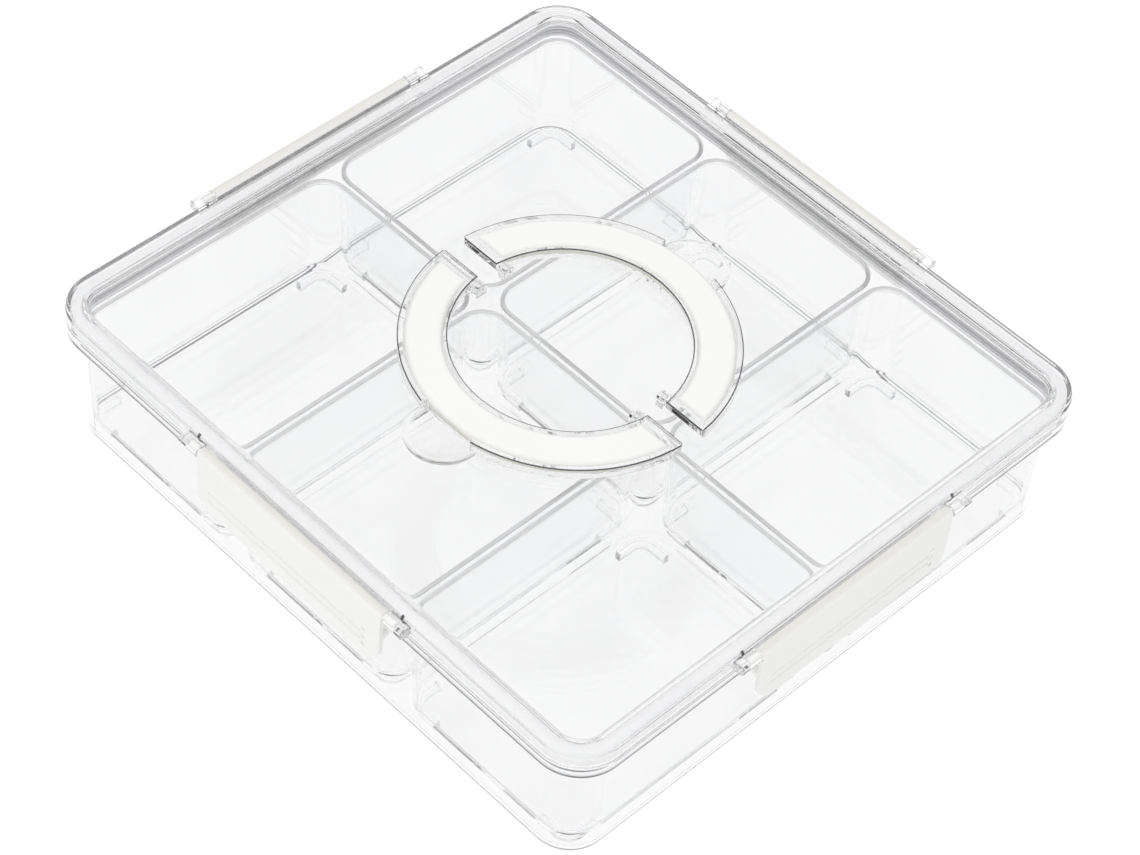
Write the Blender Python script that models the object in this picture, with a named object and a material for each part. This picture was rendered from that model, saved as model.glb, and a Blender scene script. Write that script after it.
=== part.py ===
"""Lidded serving box with six lift-out compartments, a folding ring handle and four side latches.

Units are metres and +Z is up. The origin is at the middle of the underside, on the surface that
the box stands on. +X runs along the three columns of compartments and -Y is the front.
"""

import math

import bpy
import bmesh
from mathutils import Matrix, Vector

# Size of the lid, seen from above
LID_LENGTH = 0.325
LID_WIDTH = 0.3025
LID_CORNER_RADIUS = 0.021

# Clearances: between pieces that touch, and round a pin in its hole
TOUCH_GAP = 0.0003
PIN_GAP = 0.0003

# How far a cutting block runs past what it cuts
OVERRUN = 0.004

# Base tray
BASE_HEIGHT = 0.0682
BASE_FLOOR = 0.0026
BASE_WALL = 0.0023
BASE_DRAFT = 0.0014
BASE_CORNER_BOTTOM = 0.0175
BASE_EDGE_ROUND = 0.0045
BASE_FLOOR_ROUND = 0.003
RIM_OVERHANG = 0.0044
RIM_HEIGHT = 0.006
RIM_EASE = 0.0005

# Compartments: three columns along X and two rows along Y
COLUMNS = ("left", "middle", "right")
ROWS = ("front", "back")
COMPARTMENT_CLEAR = 0.0014
COMPARTMENT_GAP = 0.002
COMPARTMENT_HEADROOM = 0.0022
COMPARTMENT_WALL = 0.0015
COMPARTMENT_FLOOR = 0.0018
COMPARTMENT_RIM_OVERHANG = 0.0004
COMPARTMENT_RIM_HEIGHT = 0.0026
COMPARTMENT_EDGE_ROUND = 0.0026
COMPARTMENT_FLOOR_ROUND = 0.003
FOOT_HEIGHT = 0.005
FOOT_WIDTH = 0.003
FOOT_SETBACK = 0.0006
FOOT_ARM = 0.0085
FOOT_CORNER = 0.0078

# Lid
SKIRT_HEIGHT = 0.0085
SKIRT_WALL = 0.0023
SKIRT_ROUND = 0.0022
BORDER_WIDTH = 0.0096
BORDER_HEIGHT = 0.0025
BORDER_BEVEL = 0.0011
PANEL_THICKNESS = 0.0022
ROOF_THICKNESS = 0.0031
PLUG_WALL = 0.0019
PLUG_DEPTH = 0.0042
PLUG_GAP = 0.0006
SEAL_EASE = 0.0007

# Folding ring handle, in two halves
RING_OUTER = 0.0732
RING_WIDTH = 0.0212
RING_THICKNESS = 0.0054
RING_SPLIT = 0.0106
RING_OUTER_WALL = 0.0024
RING_INNER_WALL = 0.0015
RING_END_WALL = 0.0046
RING_FLOOR = 0.0016
GRIP_PROUD = 0.0007
GRIP_ROUND = 0.0022
HANDLE_PIN_RADIUS = 0.0012
BOSS_WALL = 0.0016
BOSS_LENGTH = 0.0041
BOSS_SIDE_GAP = 0.0007
BOSS_BLIND = 0.0012

# Finger dimples in the lid, and the flats on the ring beside them
FINGER_CUT_DEPTH = 0.0034
FINGER_CUT_WIDTH = 0.030
DIMPLE_RADIUS = 0.017
DIMPLE_DEPTH = 0.0055
DIMPLE_TUCK = 0.0009
DIMPLE_WALL = 0.0013

# Side latches and the ears that carry them
LATCH_LENGTH = 0.1118
LATCH_DROP = 0.0276
LATCH_PLATE = 0.0023
LATCH_CORNER = 0.007
LATCH_BARREL_RADIUS = 0.0027
LATCH_BARREL_GAP = 0.0007
LATCH_TOP_DROP = 0.0007
LATCH_LIP_HEIGHT = 0.0044
LATCH_LIP_FLARE = 0.0012
LATCH_PIN_RADIUS = 0.0014
LATCH_PIN_LENGTH = 0.0062
LATCH_PIN_ROOT = 0.002
RIB_HEIGHT = 0.0028
RIB_DROP = 0.0006
RIB_CLEAR = 0.0004
EAR_LENGTH = 0.011
EAR_GAP = 0.0005
EAR_WALL = 0.0012
EAR_BLIND = 0.0012

# How finely round shapes are divided
CORNER_STEPS = 6
EDGE_STEPS = 3
RING_STEPS = 24
NOSE_STEPS = 10
PIN_SIDES = 16
BOWL_SIDES = 28
BOWL_RINGS = 5

# Colours
CLEAR = (0.86, 0.88, 0.91, 1.0)
IVORY = (0.93, 0.92, 0.86, 1.0)
SILICONE = (0.80, 0.83, 0.88, 1.0)

# Plan of the lid and insets from its edge
HALF_LENGTH = LID_LENGTH / 2
HALF_WIDTH = LID_WIDTH / 2
BASE_INNER_TOP = RIM_OVERHANG + BASE_WALL
BASE_INSET_BOTTOM = RIM_OVERHANG + BASE_DRAFT
BASE_INNER_BOTTOM = BASE_INSET_BOTTOM + BASE_WALL
PLUG_INSET = BASE_INNER_TOP + PLUG_GAP
COMPARTMENT_INSET = BASE_INNER_TOP + COMPARTMENT_CLEAR
COMPARTMENT_LENGTH = (2 * (HALF_LENGTH - COMPARTMENT_INSET)
                      - (len(COLUMNS) - 1) * COMPARTMENT_GAP) / len(COLUMNS)
COMPARTMENT_WIDTH = (2 * (HALF_WIDTH - COMPARTMENT_INSET)
                     - (len(ROWS) - 1) * COMPARTMENT_GAP) / len(ROWS)

# Heights
RIM_BOTTOM = BASE_HEIGHT - RIM_HEIGHT
SKIRT_BOTTOM = BASE_HEIGHT + TOUCH_GAP
BORDER_TOP = SKIRT_BOTTOM + SKIRT_HEIGHT
PANEL_TOP = BORDER_TOP - BORDER_HEIGHT
PANEL_UNDERSIDE = PANEL_TOP - PANEL_THICKNESS
CHANNEL_ROOF = BORDER_TOP - ROOF_THICKNESS
PLUG_BOTTOM = BASE_HEIGHT - PLUG_DEPTH
COMPARTMENT_BOTTOM = BASE_FLOOR + TOUCH_GAP
COMPARTMENT_HEIGHT = PLUG_BOTTOM - COMPARTMENT_HEADROOM - COMPARTMENT_BOTTOM

# The ring handle's section and hinge
RING_INNER = RING_OUTER - RING_WIDTH
NOSE_RADIUS = RING_THICKNESS / 2
HINGE_OFFSET = RING_SPLIT / 2 + NOSE_RADIUS
HINGE_HEIGHT = PANEL_TOP + TOUCH_GAP + NOSE_RADIUS
RING_BOTTOM = HINGE_HEIGHT - NOSE_RADIUS
RING_TOP = HINGE_HEIGHT + NOSE_RADIUS
CHANNEL_INNER = RING_INNER + RING_INNER_WALL
CHANNEL_OUTER = RING_OUTER - RING_OUTER_WALL
CHANNEL_START = RING_SPLIT / 2 + RING_END_WALL
GRIP_BOTTOM = RING_BOTTOM + RING_FLOOR + TOUCH_GAP
GRIP_TOP = RING_TOP + GRIP_PROUD
BOSS_RADIUS = HANDLE_PIN_RADIUS + PIN_GAP + BOSS_WALL
BOSS_HIGH = math.sqrt(RING_INNER ** 2 - (HINGE_OFFSET + BOSS_RADIUS) ** 2) - BOSS_SIDE_GAP
BOSS_LOW = BOSS_HIGH - BOSS_LENGTH
DIMPLE_PLACE = RING_OUTER - DIMPLE_TUCK

# The latches' hinge
LATCH_AXIS_OUT = LATCH_BARREL_RADIUS + LATCH_BARREL_GAP
LATCH_AXIS_HEIGHT = BORDER_TOP - LATCH_TOP_DROP - LATCH_BARREL_RADIUS
EAR_START = LATCH_LENGTH / 2 + EAR_GAP
EAR_RADIUS = LATCH_PIN_RADIUS + PIN_GAP + EAR_WALL
LATCH_HOLE_RADIUS = LATCH_PIN_RADIUS + PIN_GAP


def clear_scene():
    """Remove every object that the file opened with."""
    for item in list(bpy.data.objects):
        bpy.data.objects.remove(item, do_unlink=True)


def make_material(name, colour, roughness, transmission):
    """Make a Principled material."""
    material = bpy.data.materials.new(name)
    material.use_nodes = True
    shader = material.node_tree.nodes["Principled BSDF"]
    shader.inputs["Base Color"].default_value = colour
    shader.inputs["Roughness"].default_value = roughness
    shader.inputs["Metallic"].default_value = 0.0
    shader.inputs["Transmission Weight"].default_value = transmission
    return material


def link_object(name, mesh, material=None):
    """Put a mesh in the scene as one named object, with its own material."""
    item = bpy.data.objects.new(name, mesh)
    bpy.context.collection.objects.link(item)
    if material is not None:
        if not mesh.materials:
            mesh.materials.append(material)
        item.material_slots[0].link = "OBJECT"
        item.material_slots[0].material = material
    return item


def finish_mesh(name, work):
    """Turn a bmesh into a mesh whose faces point out."""
    bmesh.ops.recalc_face_normals(work, faces=work.faces)
    mesh = bpy.data.meshes.new(name)
    work.to_mesh(mesh)
    work.free()
    return mesh


def shade(item, angle=math.radians(35)):
    """Shade a finished object smooth between its sharp edges."""
    item.data.shade_smooth()
    item.data.set_sharp_from_angle(angle=angle)


def arc(centre_u, centre_v, radius, start, end, steps):
    """Points on an arc in a plane, both ends included, with angles in degrees."""
    points = []
    for step in range(steps + 1):
        angle = math.radians(start + (end - start) * step / steps)
        points.append((centre_u + radius * math.cos(angle), centre_v + radius * math.sin(angle)))
    return points


def rounded_ring(half_x, half_y, radius, height):
    """Points of a rounded rectangle at one height, anticlockwise from its +X side."""
    points = []
    for index, (sign_x, sign_y) in enumerate(((1, 1), (-1, 1), (-1, -1), (1, -1))):
        corner = arc(sign_x * (half_x - radius), sign_y * (half_y - radius), radius,
                     90 * index, 90 * (index + 1), CORNER_STEPS)
        points.extend(Vector((x, y, height)) for x, y in corner)
    return points


def bridge(work, lower, upper):
    """Join two rings of vertices with quads."""
    count = len(lower)
    for index in range(count):
        after = (index + 1) % count
        work.faces.new((lower[index], lower[after], upper[after], upper[index]))


def stacked_shell(name, half_x, half_y, sections, closed_loop=False):
    """A thin-walled rounded box from its wall section.

    Each section point is (inset, height, corner radius). The first and last rings are
    filled, or joined to each other when the section is a closed loop.
    """
    work = bmesh.new()
    rings = []
    for inset, height, radius in sections:
        ring = rounded_ring(half_x - inset, half_y - inset, radius, height)
        rings.append([work.verts.new(point) for point in ring])
    for lower, upper in zip(rings, rings[1:]):
        bridge(work, lower, upper)
    if closed_loop:
        bridge(work, rings[-1], rings[0])
    else:
        work.faces.new(rings[0])
        work.faces.new(rings[-1])
    return finish_mesh(name, work)


def concentric(points, reference_inset, reference_radius):
    """Give each (inset, height) a corner radius that shares its centre with a known corner."""
    return [(inset, height, reference_radius + reference_inset - inset) for inset, height in points]


def along_x(u, v, w):
    """Outline in Y and Z, extruded along X."""
    return Vector((w, u, v))


def along_y(u, v, w):
    """Outline in X and Z, extruded along Y."""
    return Vector((u, w, v))


def along_z(u, v, w):
    """Outline in X and Y, extruded along Z."""
    return Vector((u, v, w))


def prism(name, outline, place, low, high):
    """Extrude a flat outline between two distances along the way that place names."""
    work = bmesh.new()
    first = [work.verts.new(place(u, v, low)) for u, v in outline]
    second = [work.verts.new(place(u, v, high)) for u, v in outline]
    bridge(work, first, second)
    work.faces.new(first)
    work.faces.new(second)
    return finish_mesh(name, work)


def rod(name, place, centre_u, centre_v, radius, low, high):
    """A round rod between two distances along the way that place names."""
    outline = arc(centre_u, centre_v, radius, 0, 360 - 360 / PIN_SIDES, PIN_SIDES - 1)
    return prism(name, outline, place, low, high)


def half_ring(name, outline, spare_steps):
    """Turn a (radius, height) outline about Z over the +Y half circle and a few steps more."""
    work = bmesh.new()
    rings = []
    for step in range(-spare_steps, RING_STEPS + spare_steps + 1):
        angle = math.pi * step / RING_STEPS
        rings.append([work.verts.new((radius * math.cos(angle), radius * math.sin(angle), height))
                      for radius, height in outline])
    for lower, upper in zip(rings, rings[1:]):
        bridge(work, lower, upper)
    work.faces.new(rings[0])
    work.faces.new(rings[-1])
    return finish_mesh(name, work)


def combine(mesh, tool, operation):
    """Apply one exact Boolean of two meshes and return the result as a new mesh."""
    target = link_object("work_target", mesh)
    other = link_object("work_tool", tool)
    modifier = target.modifiers.new("combine", "BOOLEAN")
    modifier.operation = operation
    modifier.solver = "EXACT"
    modifier.object = other
    graph = bpy.context.evaluated_depsgraph_get()
    result = bpy.data.meshes.new_from_object(target.evaluated_get(graph))
    result.name = mesh.name
    for item in (target, other):
        bpy.data.objects.remove(item, do_unlink=True)
    return result


def combine_all(mesh, tools, operation):
    """Apply the same Boolean with each tool in turn."""
    for tool in tools:
        mesh = combine(mesh, tool, operation)
    return mesh


def moved(mesh, matrix):
    """A copy of a mesh under a transform; a mirrored copy keeps its faces pointing out."""
    copy = mesh.copy()
    copy.transform(matrix)
    if matrix.determinant() < 0:
        copy.flip_normals()
    return copy


def mirrored(mesh, sides_x=(1, -1), sides_y=(1,)):
    """Copies of a mesh on both sides of the middle planes that the signs name."""
    return [moved(mesh, Matrix.Diagonal((side_x, side_y, 1, 1)))
            for side_x in sides_x for side_y in sides_y]


def build_base_tray():
    """The deep outer box with its thick rim bead."""
    edge = BASE_EDGE_ROUND
    fillet = BASE_FLOOR_ROUND
    outside = arc(BASE_INSET_BOTTOM + edge, edge, edge, 270, 180, EDGE_STEPS)
    rim = [
        (RIM_OVERHANG, RIM_BOTTOM),
        (RIM_EASE, RIM_BOTTOM),
        (0.0, RIM_BOTTOM + RIM_EASE),
        (0.0, BASE_HEIGHT - RIM_EASE),
        (RIM_EASE, BASE_HEIGHT),
        (BASE_INNER_TOP - RIM_EASE, BASE_HEIGHT),
        (BASE_INNER_TOP, BASE_HEIGHT - RIM_EASE),
    ]
    inside = arc(BASE_INNER_BOTTOM + fillet, BASE_FLOOR + fillet, fillet, 180, 270, EDGE_STEPS)
    sections = (concentric(outside, BASE_INSET_BOTTOM, BASE_CORNER_BOTTOM)
                + concentric(rim, 0.0, LID_CORNER_RADIUS)
                + concentric(inside, BASE_INSET_BOTTOM, BASE_CORNER_BOTTOM))
    mesh = stacked_shell("base_tray", HALF_LENGTH, HALF_WIDTH, sections)
    return link_object("base_tray", mesh, make_material("base_tray", CLEAR, 0.08, 1.0))


def corner_foot():
    """One L-shaped foot rail that follows the +X +Y corner of a compartment's floor."""
    outer_face = BASE_DRAFT + COMPARTMENT_EDGE_ROUND + FOOT_SETBACK
    centre_x = COMPARTMENT_LENGTH / 2 - outer_face - FOOT_CORNER
    centre_y = COMPARTMENT_WIDTH / 2 - outer_face - FOOT_CORNER
    outside = arc(centre_x, centre_y, FOOT_CORNER, 0, 90, EDGE_STEPS)
    inside = arc(centre_x, centre_y, FOOT_CORNER - FOOT_WIDTH, 90, 0, EDGE_STEPS)
    end_x = centre_x - FOOT_ARM
    end_y = centre_y - FOOT_ARM
    outline = [(outside[0][0], end_y), *outside, (end_x, outside[-1][1]),
               (end_x, inside[0][1]), *inside, (inside[-1][0], end_y)]
    return prism("foot", outline, along_z, 0.0, FOOT_HEIGHT + COMPARTMENT_FLOOR / 2)


def compartment_mesh():
    """A lift-out box with a thick rim and four L-shaped feet; its origin is under its middle."""
    top = COMPARTMENT_HEIGHT
    floor_top = FOOT_HEIGHT + COMPARTMENT_FLOOR
    edge = COMPARTMENT_EDGE_ROUND
    fillet = COMPARTMENT_FLOOR_ROUND
    rim_width = COMPARTMENT_RIM_OVERHANG + COMPARTMENT_WALL
    outside = arc(BASE_DRAFT + edge, FOOT_HEIGHT + edge, edge, 270, 180, EDGE_STEPS)
    rim = [
        (COMPARTMENT_RIM_OVERHANG, top - COMPARTMENT_RIM_HEIGHT),
        (0.0, top - COMPARTMENT_RIM_HEIGHT),
        (0.0, top - RIM_EASE),
        (RIM_EASE, top),
        (rim_width - RIM_EASE, top),
        (rim_width, top - RIM_EASE),
    ]
    inner_bottom = BASE_DRAFT + COMPARTMENT_WALL
    inside = arc(inner_bottom + fillet, floor_top + fillet, fillet, 180, 270, EDGE_STEPS)
    top_corner = LID_CORNER_RADIUS - COMPARTMENT_INSET
    bottom_corner = BASE_CORNER_BOTTOM - BASE_WALL - COMPARTMENT_CLEAR
    sections = (concentric(outside, BASE_DRAFT, bottom_corner) + concentric(rim, 0.0, top_corner)
                + concentric(inside, BASE_DRAFT, bottom_corner))
    shell = stacked_shell("compartment", COMPARTMENT_LENGTH / 2, COMPARTMENT_WIDTH / 2, sections)
    return combine_all(shell, mirrored(corner_foot(), sides_y=(1, -1)), "UNION")


def build_compartments():
    """The lift-out boxes, in three columns and two rows, each with its feet on the base's floor."""
    mesh = compartment_mesh()
    items = []
    for row, row_name in enumerate(ROWS):
        for column, column_name in enumerate(COLUMNS):
            name = f"compartment_{row_name}_{column_name}"
            item = link_object(name, mesh, make_material(name, CLEAR, 0.08, 1.0))
            item.location = ((column - (len(COLUMNS) - 1) / 2) * (COMPARTMENT_LENGTH + COMPARTMENT_GAP),
                             (row - (len(ROWS) - 1) / 2) * (COMPARTMENT_WIDTH + COMPARTMENT_GAP),
                             COMPARTMENT_BOTTOM)
            items.append(item)
    return items


def lid_shell():
    """The lid's panel, raised border, skirt, seal channel and the plug wall inside the base."""
    plug_inner = PLUG_INSET + PLUG_WALL
    points = [
        (BORDER_WIDTH, PANEL_TOP),
        (BORDER_WIDTH - BORDER_BEVEL / 2, BORDER_TOP - BORDER_BEVEL),
        (BORDER_WIDTH - BORDER_BEVEL * 3 / 2, BORDER_TOP),
        *arc(SKIRT_ROUND, BORDER_TOP - SKIRT_ROUND, SKIRT_ROUND, 90, 180, EDGE_STEPS),
        (0.0, SKIRT_BOTTOM),
        (SKIRT_WALL, SKIRT_BOTTOM),
        (SKIRT_WALL, CHANNEL_ROOF),
        (PLUG_INSET, CHANNEL_ROOF),
        (PLUG_INSET, PLUG_BOTTOM),
        (plug_inner, PLUG_BOTTOM),
        (plug_inner, PANEL_UNDERSIDE),
    ]
    sections = concentric(points, 0.0, LID_CORNER_RADIUS)
    return stacked_shell("lid", HALF_LENGTH, HALF_WIDTH, sections)


def bowl(name, radius, depth, rim_height, top_height):
    """A solid bowl, flat on top and part of a ball below, centred on the Z axis."""
    ball = (radius ** 2 + depth ** 2) / (2 * depth)
    centre = rim_height - depth + ball
    half_angle = math.asin(radius / ball)
    levels = [(radius, top_height)]
    for step in range(BOWL_RINGS):
        angle = half_angle * (1 - step / BOWL_RINGS)
        levels.append((ball * math.sin(angle), centre - ball * math.cos(angle)))
    work = bmesh.new()
    rings = []
    for reach, height in levels:
        circle = arc(0.0, 0.0, reach, 0, 360 - 360 / BOWL_SIDES, BOWL_SIDES - 1)
        rings.append([work.verts.new((x, y, height)) for x, y in circle])
    for lower, upper in zip(rings, rings[1:]):
        bridge(work, lower, upper)
    tip = work.verts.new((0.0, 0.0, rim_height - depth))
    for side in range(BOWL_SIDES):
        work.faces.new((rings[-1][side], rings[-1][(side + 1) % BOWL_SIDES], tip))
    work.faces.new(rings[0])
    return finish_mesh(name, work)


def dimple_tools():
    """The bowls that bulge under the panel, and the hollows cut into them."""
    bulge = bowl("bulge", DIMPLE_RADIUS + DIMPLE_WALL, DIMPLE_DEPTH, PANEL_UNDERSIDE,
                 PANEL_UNDERSIDE + PANEL_THICKNESS / 2)
    hollow = bowl("hollow", DIMPLE_RADIUS, DIMPLE_DEPTH, PANEL_TOP, BORDER_TOP + OVERRUN)
    place = Matrix.Translation((0.0, DIMPLE_PLACE, 0.0))
    pairs = [mirrored(moved(tool, place), sides_x=(1,), sides_y=(1, -1)) for tool in (bulge, hollow)]
    return pairs[0], pairs[1]


def latch_sides():
    """Each latched side as (name, turn about Z, distance of the lid's edge)."""
    return (("front", 0.0, HALF_WIDTH), ("right", math.pi / 2, HALF_LENGTH),
            ("back", math.pi, HALF_WIDTH), ("left", -math.pi / 2, HALF_LENGTH))


def ear_tools():
    """The latch ears on all four sides, and the pin holes in them."""
    root = SKIRT_WALL / 2
    outline = [*arc(-LATCH_AXIS_OUT, LATCH_AXIS_HEIGHT, EAR_RADIUS, 90, 270, NOSE_STEPS),
               (root, LATCH_AXIS_HEIGHT - EAR_RADIUS), (root, BORDER_TOP - SKIRT_ROUND)]
    ear = prism("ear", outline, along_x, EAR_START, EAR_START + EAR_LENGTH)
    hole = rod("hole", along_x, -LATCH_AXIS_OUT, LATCH_AXIS_HEIGHT, LATCH_HOLE_RADIUS,
               EAR_START - OVERRUN, LATCH_LENGTH / 2 + LATCH_PIN_LENGTH + EAR_BLIND)
    ears = []
    holes = []
    for _, turn, edge in latch_sides():
        place = Matrix.Rotation(turn, 4, "Z") @ Matrix.Translation((0.0, -edge, 0.0))
        ears.extend(moved(copy, place) for copy in mirrored(ear))
        holes.extend(moved(copy, place) for copy in mirrored(hole))
    return ears, holes


def boss_tools():
    """The four small hinge bosses of the handle, and the pin holes in them."""
    root = PANEL_TOP - PANEL_THICKNESS / 2
    outline = [(HINGE_OFFSET + BOSS_RADIUS, root),
               *arc(HINGE_OFFSET, HINGE_HEIGHT, BOSS_RADIUS, 0, 180, NOSE_STEPS),
               (HINGE_OFFSET - BOSS_RADIUS, root)]
    boss = prism("boss", outline, along_x, BOSS_LOW, BOSS_HIGH)
    hole = rod("hole", along_x, HINGE_OFFSET, HINGE_HEIGHT, HANDLE_PIN_RADIUS + PIN_GAP,
               BOSS_LOW + BOSS_BLIND - PIN_GAP, BOSS_HIGH + OVERRUN)
    return mirrored(boss, sides_y=(1, -1)), mirrored(hole, sides_y=(1, -1))


def build_lid():
    """The clear lid with its dimples, latch ears and handle bosses moulded in one piece."""
    bulges, hollows = dimple_tools()
    ears, ear_holes = ear_tools()
    bosses, boss_holes = boss_tools()
    mesh = combine_all(lid_shell(), bulges + ears + bosses, "UNION")
    mesh = combine_all(mesh, hollows + ear_holes + boss_holes, "DIFFERENCE")
    return link_object("lid", mesh, make_material("lid", CLEAR, 0.06, 1.0))


def build_lid_seal():
    """The soft seal in the lid's channel, which rests on the base's rim."""
    low = BASE_HEIGHT + TOUCH_GAP
    high = CHANNEL_ROOF - TOUCH_GAP
    outer = SKIRT_WALL + TOUCH_GAP
    inner = PLUG_INSET - TOUCH_GAP
    points = [(outer, low + SEAL_EASE), (outer + SEAL_EASE, low), (inner - SEAL_EASE, low),
              (inner, low + SEAL_EASE), (inner, high - SEAL_EASE), (inner - SEAL_EASE, high),
              (outer + SEAL_EASE, high), (outer, high - SEAL_EASE)]
    sections = concentric(points, 0.0, LID_CORNER_RADIUS)
    mesh = stacked_shell("lid_seal", HALF_LENGTH, HALF_WIDTH, sections, closed_loop=True)
    return link_object("lid_seal", mesh, make_material("lid_seal", SILICONE, 0.4, 0.6))


def beyond(start, low, high, corner_round=0.0):
    """A wide block of everything past a distance in +Y, with its near upper edge rounded."""
    reach = RING_OUTER + OVERRUN
    outline = [(start, low), (reach, low), (reach, high)]
    if corner_round > 0.0:
        outline.append((start + corner_round, high))
        outline.extend(arc(start + corner_round, GRIP_TOP - corner_round, corner_round, 90, 180,
                           EDGE_STEPS))
    else:
        outline.append((start, high))
    return prism("beyond", outline, along_x, -reach, reach)


def finger_cut():
    """The block that takes a flat off the ring's outer edge at the finger dimple."""
    half = FINGER_CUT_WIDTH / 2
    near = RING_OUTER - FINGER_CUT_DEPTH
    far = RING_OUTER + OVERRUN
    outline = [(-half, near), (half, near), (half, far), (-half, far)]
    return prism("finger_cut", outline, along_z, RING_BOTTOM - OVERRUN, RING_TOP + OVERRUN)


def frame_mesh():
    """Half of the ring, on the +Y side: a clear channel with round hinge ends and two pins."""
    low = RING_BOTTOM - OVERRUN
    high = RING_TOP + OVERRUN
    block = [(RING_INNER, low), (RING_OUTER, low), (RING_OUTER, high), (RING_INNER, high)]
    mesh = half_ring("handle_frame", block, 2)
    reach = RING_OUTER + OVERRUN
    slab = [*arc(HINGE_OFFSET, HINGE_HEIGHT, NOSE_RADIUS, 270, 90, NOSE_STEPS),
            (reach, RING_TOP), (reach, RING_BOTTOM)]
    mesh = combine(mesh, prism("slab", slab, along_x, -reach, reach), "INTERSECT")
    floor = RING_BOTTOM + RING_FLOOR
    groove = [(CHANNEL_INNER, floor), (CHANNEL_OUTER, floor), (CHANNEL_OUTER, high),
              (CHANNEL_INNER, high)]
    channel = combine(half_ring("channel", groove, 0), beyond(CHANNEL_START, low, high), "INTERSECT")
    mesh = combine(mesh, channel, "DIFFERENCE")
    pin = rod("pin", along_x, HINGE_OFFSET, HINGE_HEIGHT, HANDLE_PIN_RADIUS, BOSS_LOW + BOSS_BLIND,
              CHANNEL_INNER)
    mesh = combine_all(mesh, mirrored(pin), "UNION")
    return combine(mesh, finger_cut(), "DIFFERENCE")


def grip_mesh():
    """The soft-edged insert that fills the channel of one half of the ring, on the +Y side."""
    inner = CHANNEL_INNER + TOUCH_GAP
    outer = CHANNEL_OUTER - TOUCH_GAP
    shoulder = GRIP_TOP - GRIP_ROUND
    outline = [(inner, GRIP_BOTTOM), (outer, GRIP_BOTTOM),
               *arc(outer - GRIP_ROUND, shoulder, GRIP_ROUND, 0, 90, EDGE_STEPS),
               *arc(inner + GRIP_ROUND, shoulder, GRIP_ROUND, 90, 180, EDGE_STEPS)]
    mesh = half_ring("handle_grip", outline, 0)
    block = beyond(CHANNEL_START + TOUCH_GAP, GRIP_BOTTOM - OVERRUN, GRIP_TOP + OVERRUN, GRIP_ROUND)
    mesh = combine(mesh, block, "INTERSECT")
    return combine(mesh, finger_cut(), "DIFFERENCE")


def build_handle():
    """Both halves of the ring, each with its origin on its hinge axis."""
    to_axis = Matrix.Translation((0.0, -HINGE_OFFSET, -HINGE_HEIGHT))
    pieces = (("handle_frame", moved(frame_mesh(), to_axis), (CLEAR, 0.08, 1.0)),
              ("handle_grip", moved(grip_mesh(), to_axis), (IVORY, 0.35, 0.0)))
    items = []
    for piece, mesh, look in pieces:
        for side, side_name in ((1, "back"), (-1, "front")):
            name = f"{piece}_{side_name}"
            item = link_object(name, mesh, make_material(name, *look))
            item.location = (0.0, side * HINGE_OFFSET, HINGE_HEIGHT)
            item.rotation_euler = (0.0, 0.0, 0.0 if side > 0 else math.pi)
            items.append(item)
    return items


def latch_mesh():
    """One side latch for the front, with its origin in the middle of its hinge axis.

    Its barrel lies between the ears, its plate hangs outside the rim and ends in a
    flared finger lip, and its catch rib stands just below the base's rim bead.
    """
    outside = LATCH_BARREL_RADIUS
    inside = outside - LATCH_PLATE
    lip = LATCH_LIP_HEIGHT - LATCH_DROP
    rib_top = RIM_BOTTOM - RIB_DROP - LATCH_AXIS_HEIGHT
    rib_tip = RIB_CLEAR - LATCH_AXIS_OUT
    back_angle = 360 - math.degrees(math.acos(inside / outside))
    outline = [
        *arc(0.0, 0.0, outside, 0, back_angle, PIN_SIDES),
        (inside, rib_top),
        (rib_tip, rib_top),
        (rib_tip, rib_top - RIB_HEIGHT / 2),
        (inside, rib_top - RIB_HEIGHT),
        (inside, lip),
        (inside + LATCH_LIP_FLARE, -LATCH_DROP),
        (outside + LATCH_LIP_FLARE, -LATCH_DROP),
        (outside, lip),
    ]
    half = LATCH_LENGTH / 2
    mesh = prism("latch", [(-u, v) for u, v in outline], along_x, -half, half)
    corner = LATCH_CORNER
    face = [(half + OVERRUN, outside + OVERRUN), (half + OVERRUN, corner - LATCH_DROP),
            *arc(half - corner, corner - LATCH_DROP, corner, 0, -90, CORNER_STEPS),
            *arc(corner - half, corner - LATCH_DROP, corner, -90, -180, CORNER_STEPS),
            (-half - OVERRUN, corner - LATCH_DROP), (-half - OVERRUN, outside + OVERRUN)]
    reach = LATCH_AXIS_OUT + LATCH_LIP_FLARE + OVERRUN
    mesh = combine(mesh, prism("face", face, along_y, -reach, reach), "INTERSECT")
    pin = rod("pin", along_x, 0.0, 0.0, LATCH_PIN_RADIUS, half - LATCH_PIN_ROOT, half + LATCH_PIN_LENGTH)
    return combine_all(mesh, mirrored(pin), "UNION")


def build_latches():
    """Four latches on one mesh, one on each side of the lid, each turned to face outwards."""
    mesh = latch_mesh()
    items = []
    for side_name, turn, edge in latch_sides():
        name = f"latch_{side_name}"
        item = link_object(name, mesh, make_material(name, IVORY, 0.35, 0.0))
        axis_middle = Vector((0.0, -edge - LATCH_AXIS_OUT, LATCH_AXIS_HEIGHT))
        item.location = Matrix.Rotation(turn, 3, "Z") @ axis_middle
        item.rotation_euler = (0.0, 0.0, turn)
        items.append(item)
    return items


def main():
    """Build every piece at rest, with the lid closed, the ring flat and the latches down."""
    clear_scene()
    items = [build_base_tray(), *build_compartments(), build_lid(), build_lid_seal(),
             *build_handle(), *build_latches()]
    for item in items:
        shade(item)


main()
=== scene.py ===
"""Divided food tray with lid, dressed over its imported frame.

A clear box holds six lift-out compartments under a clear lid, which carries a ring handle in two
folding halves and one ivory latch on each side. Units are metres, +Z is up and -Y is the front.
"""

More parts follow.
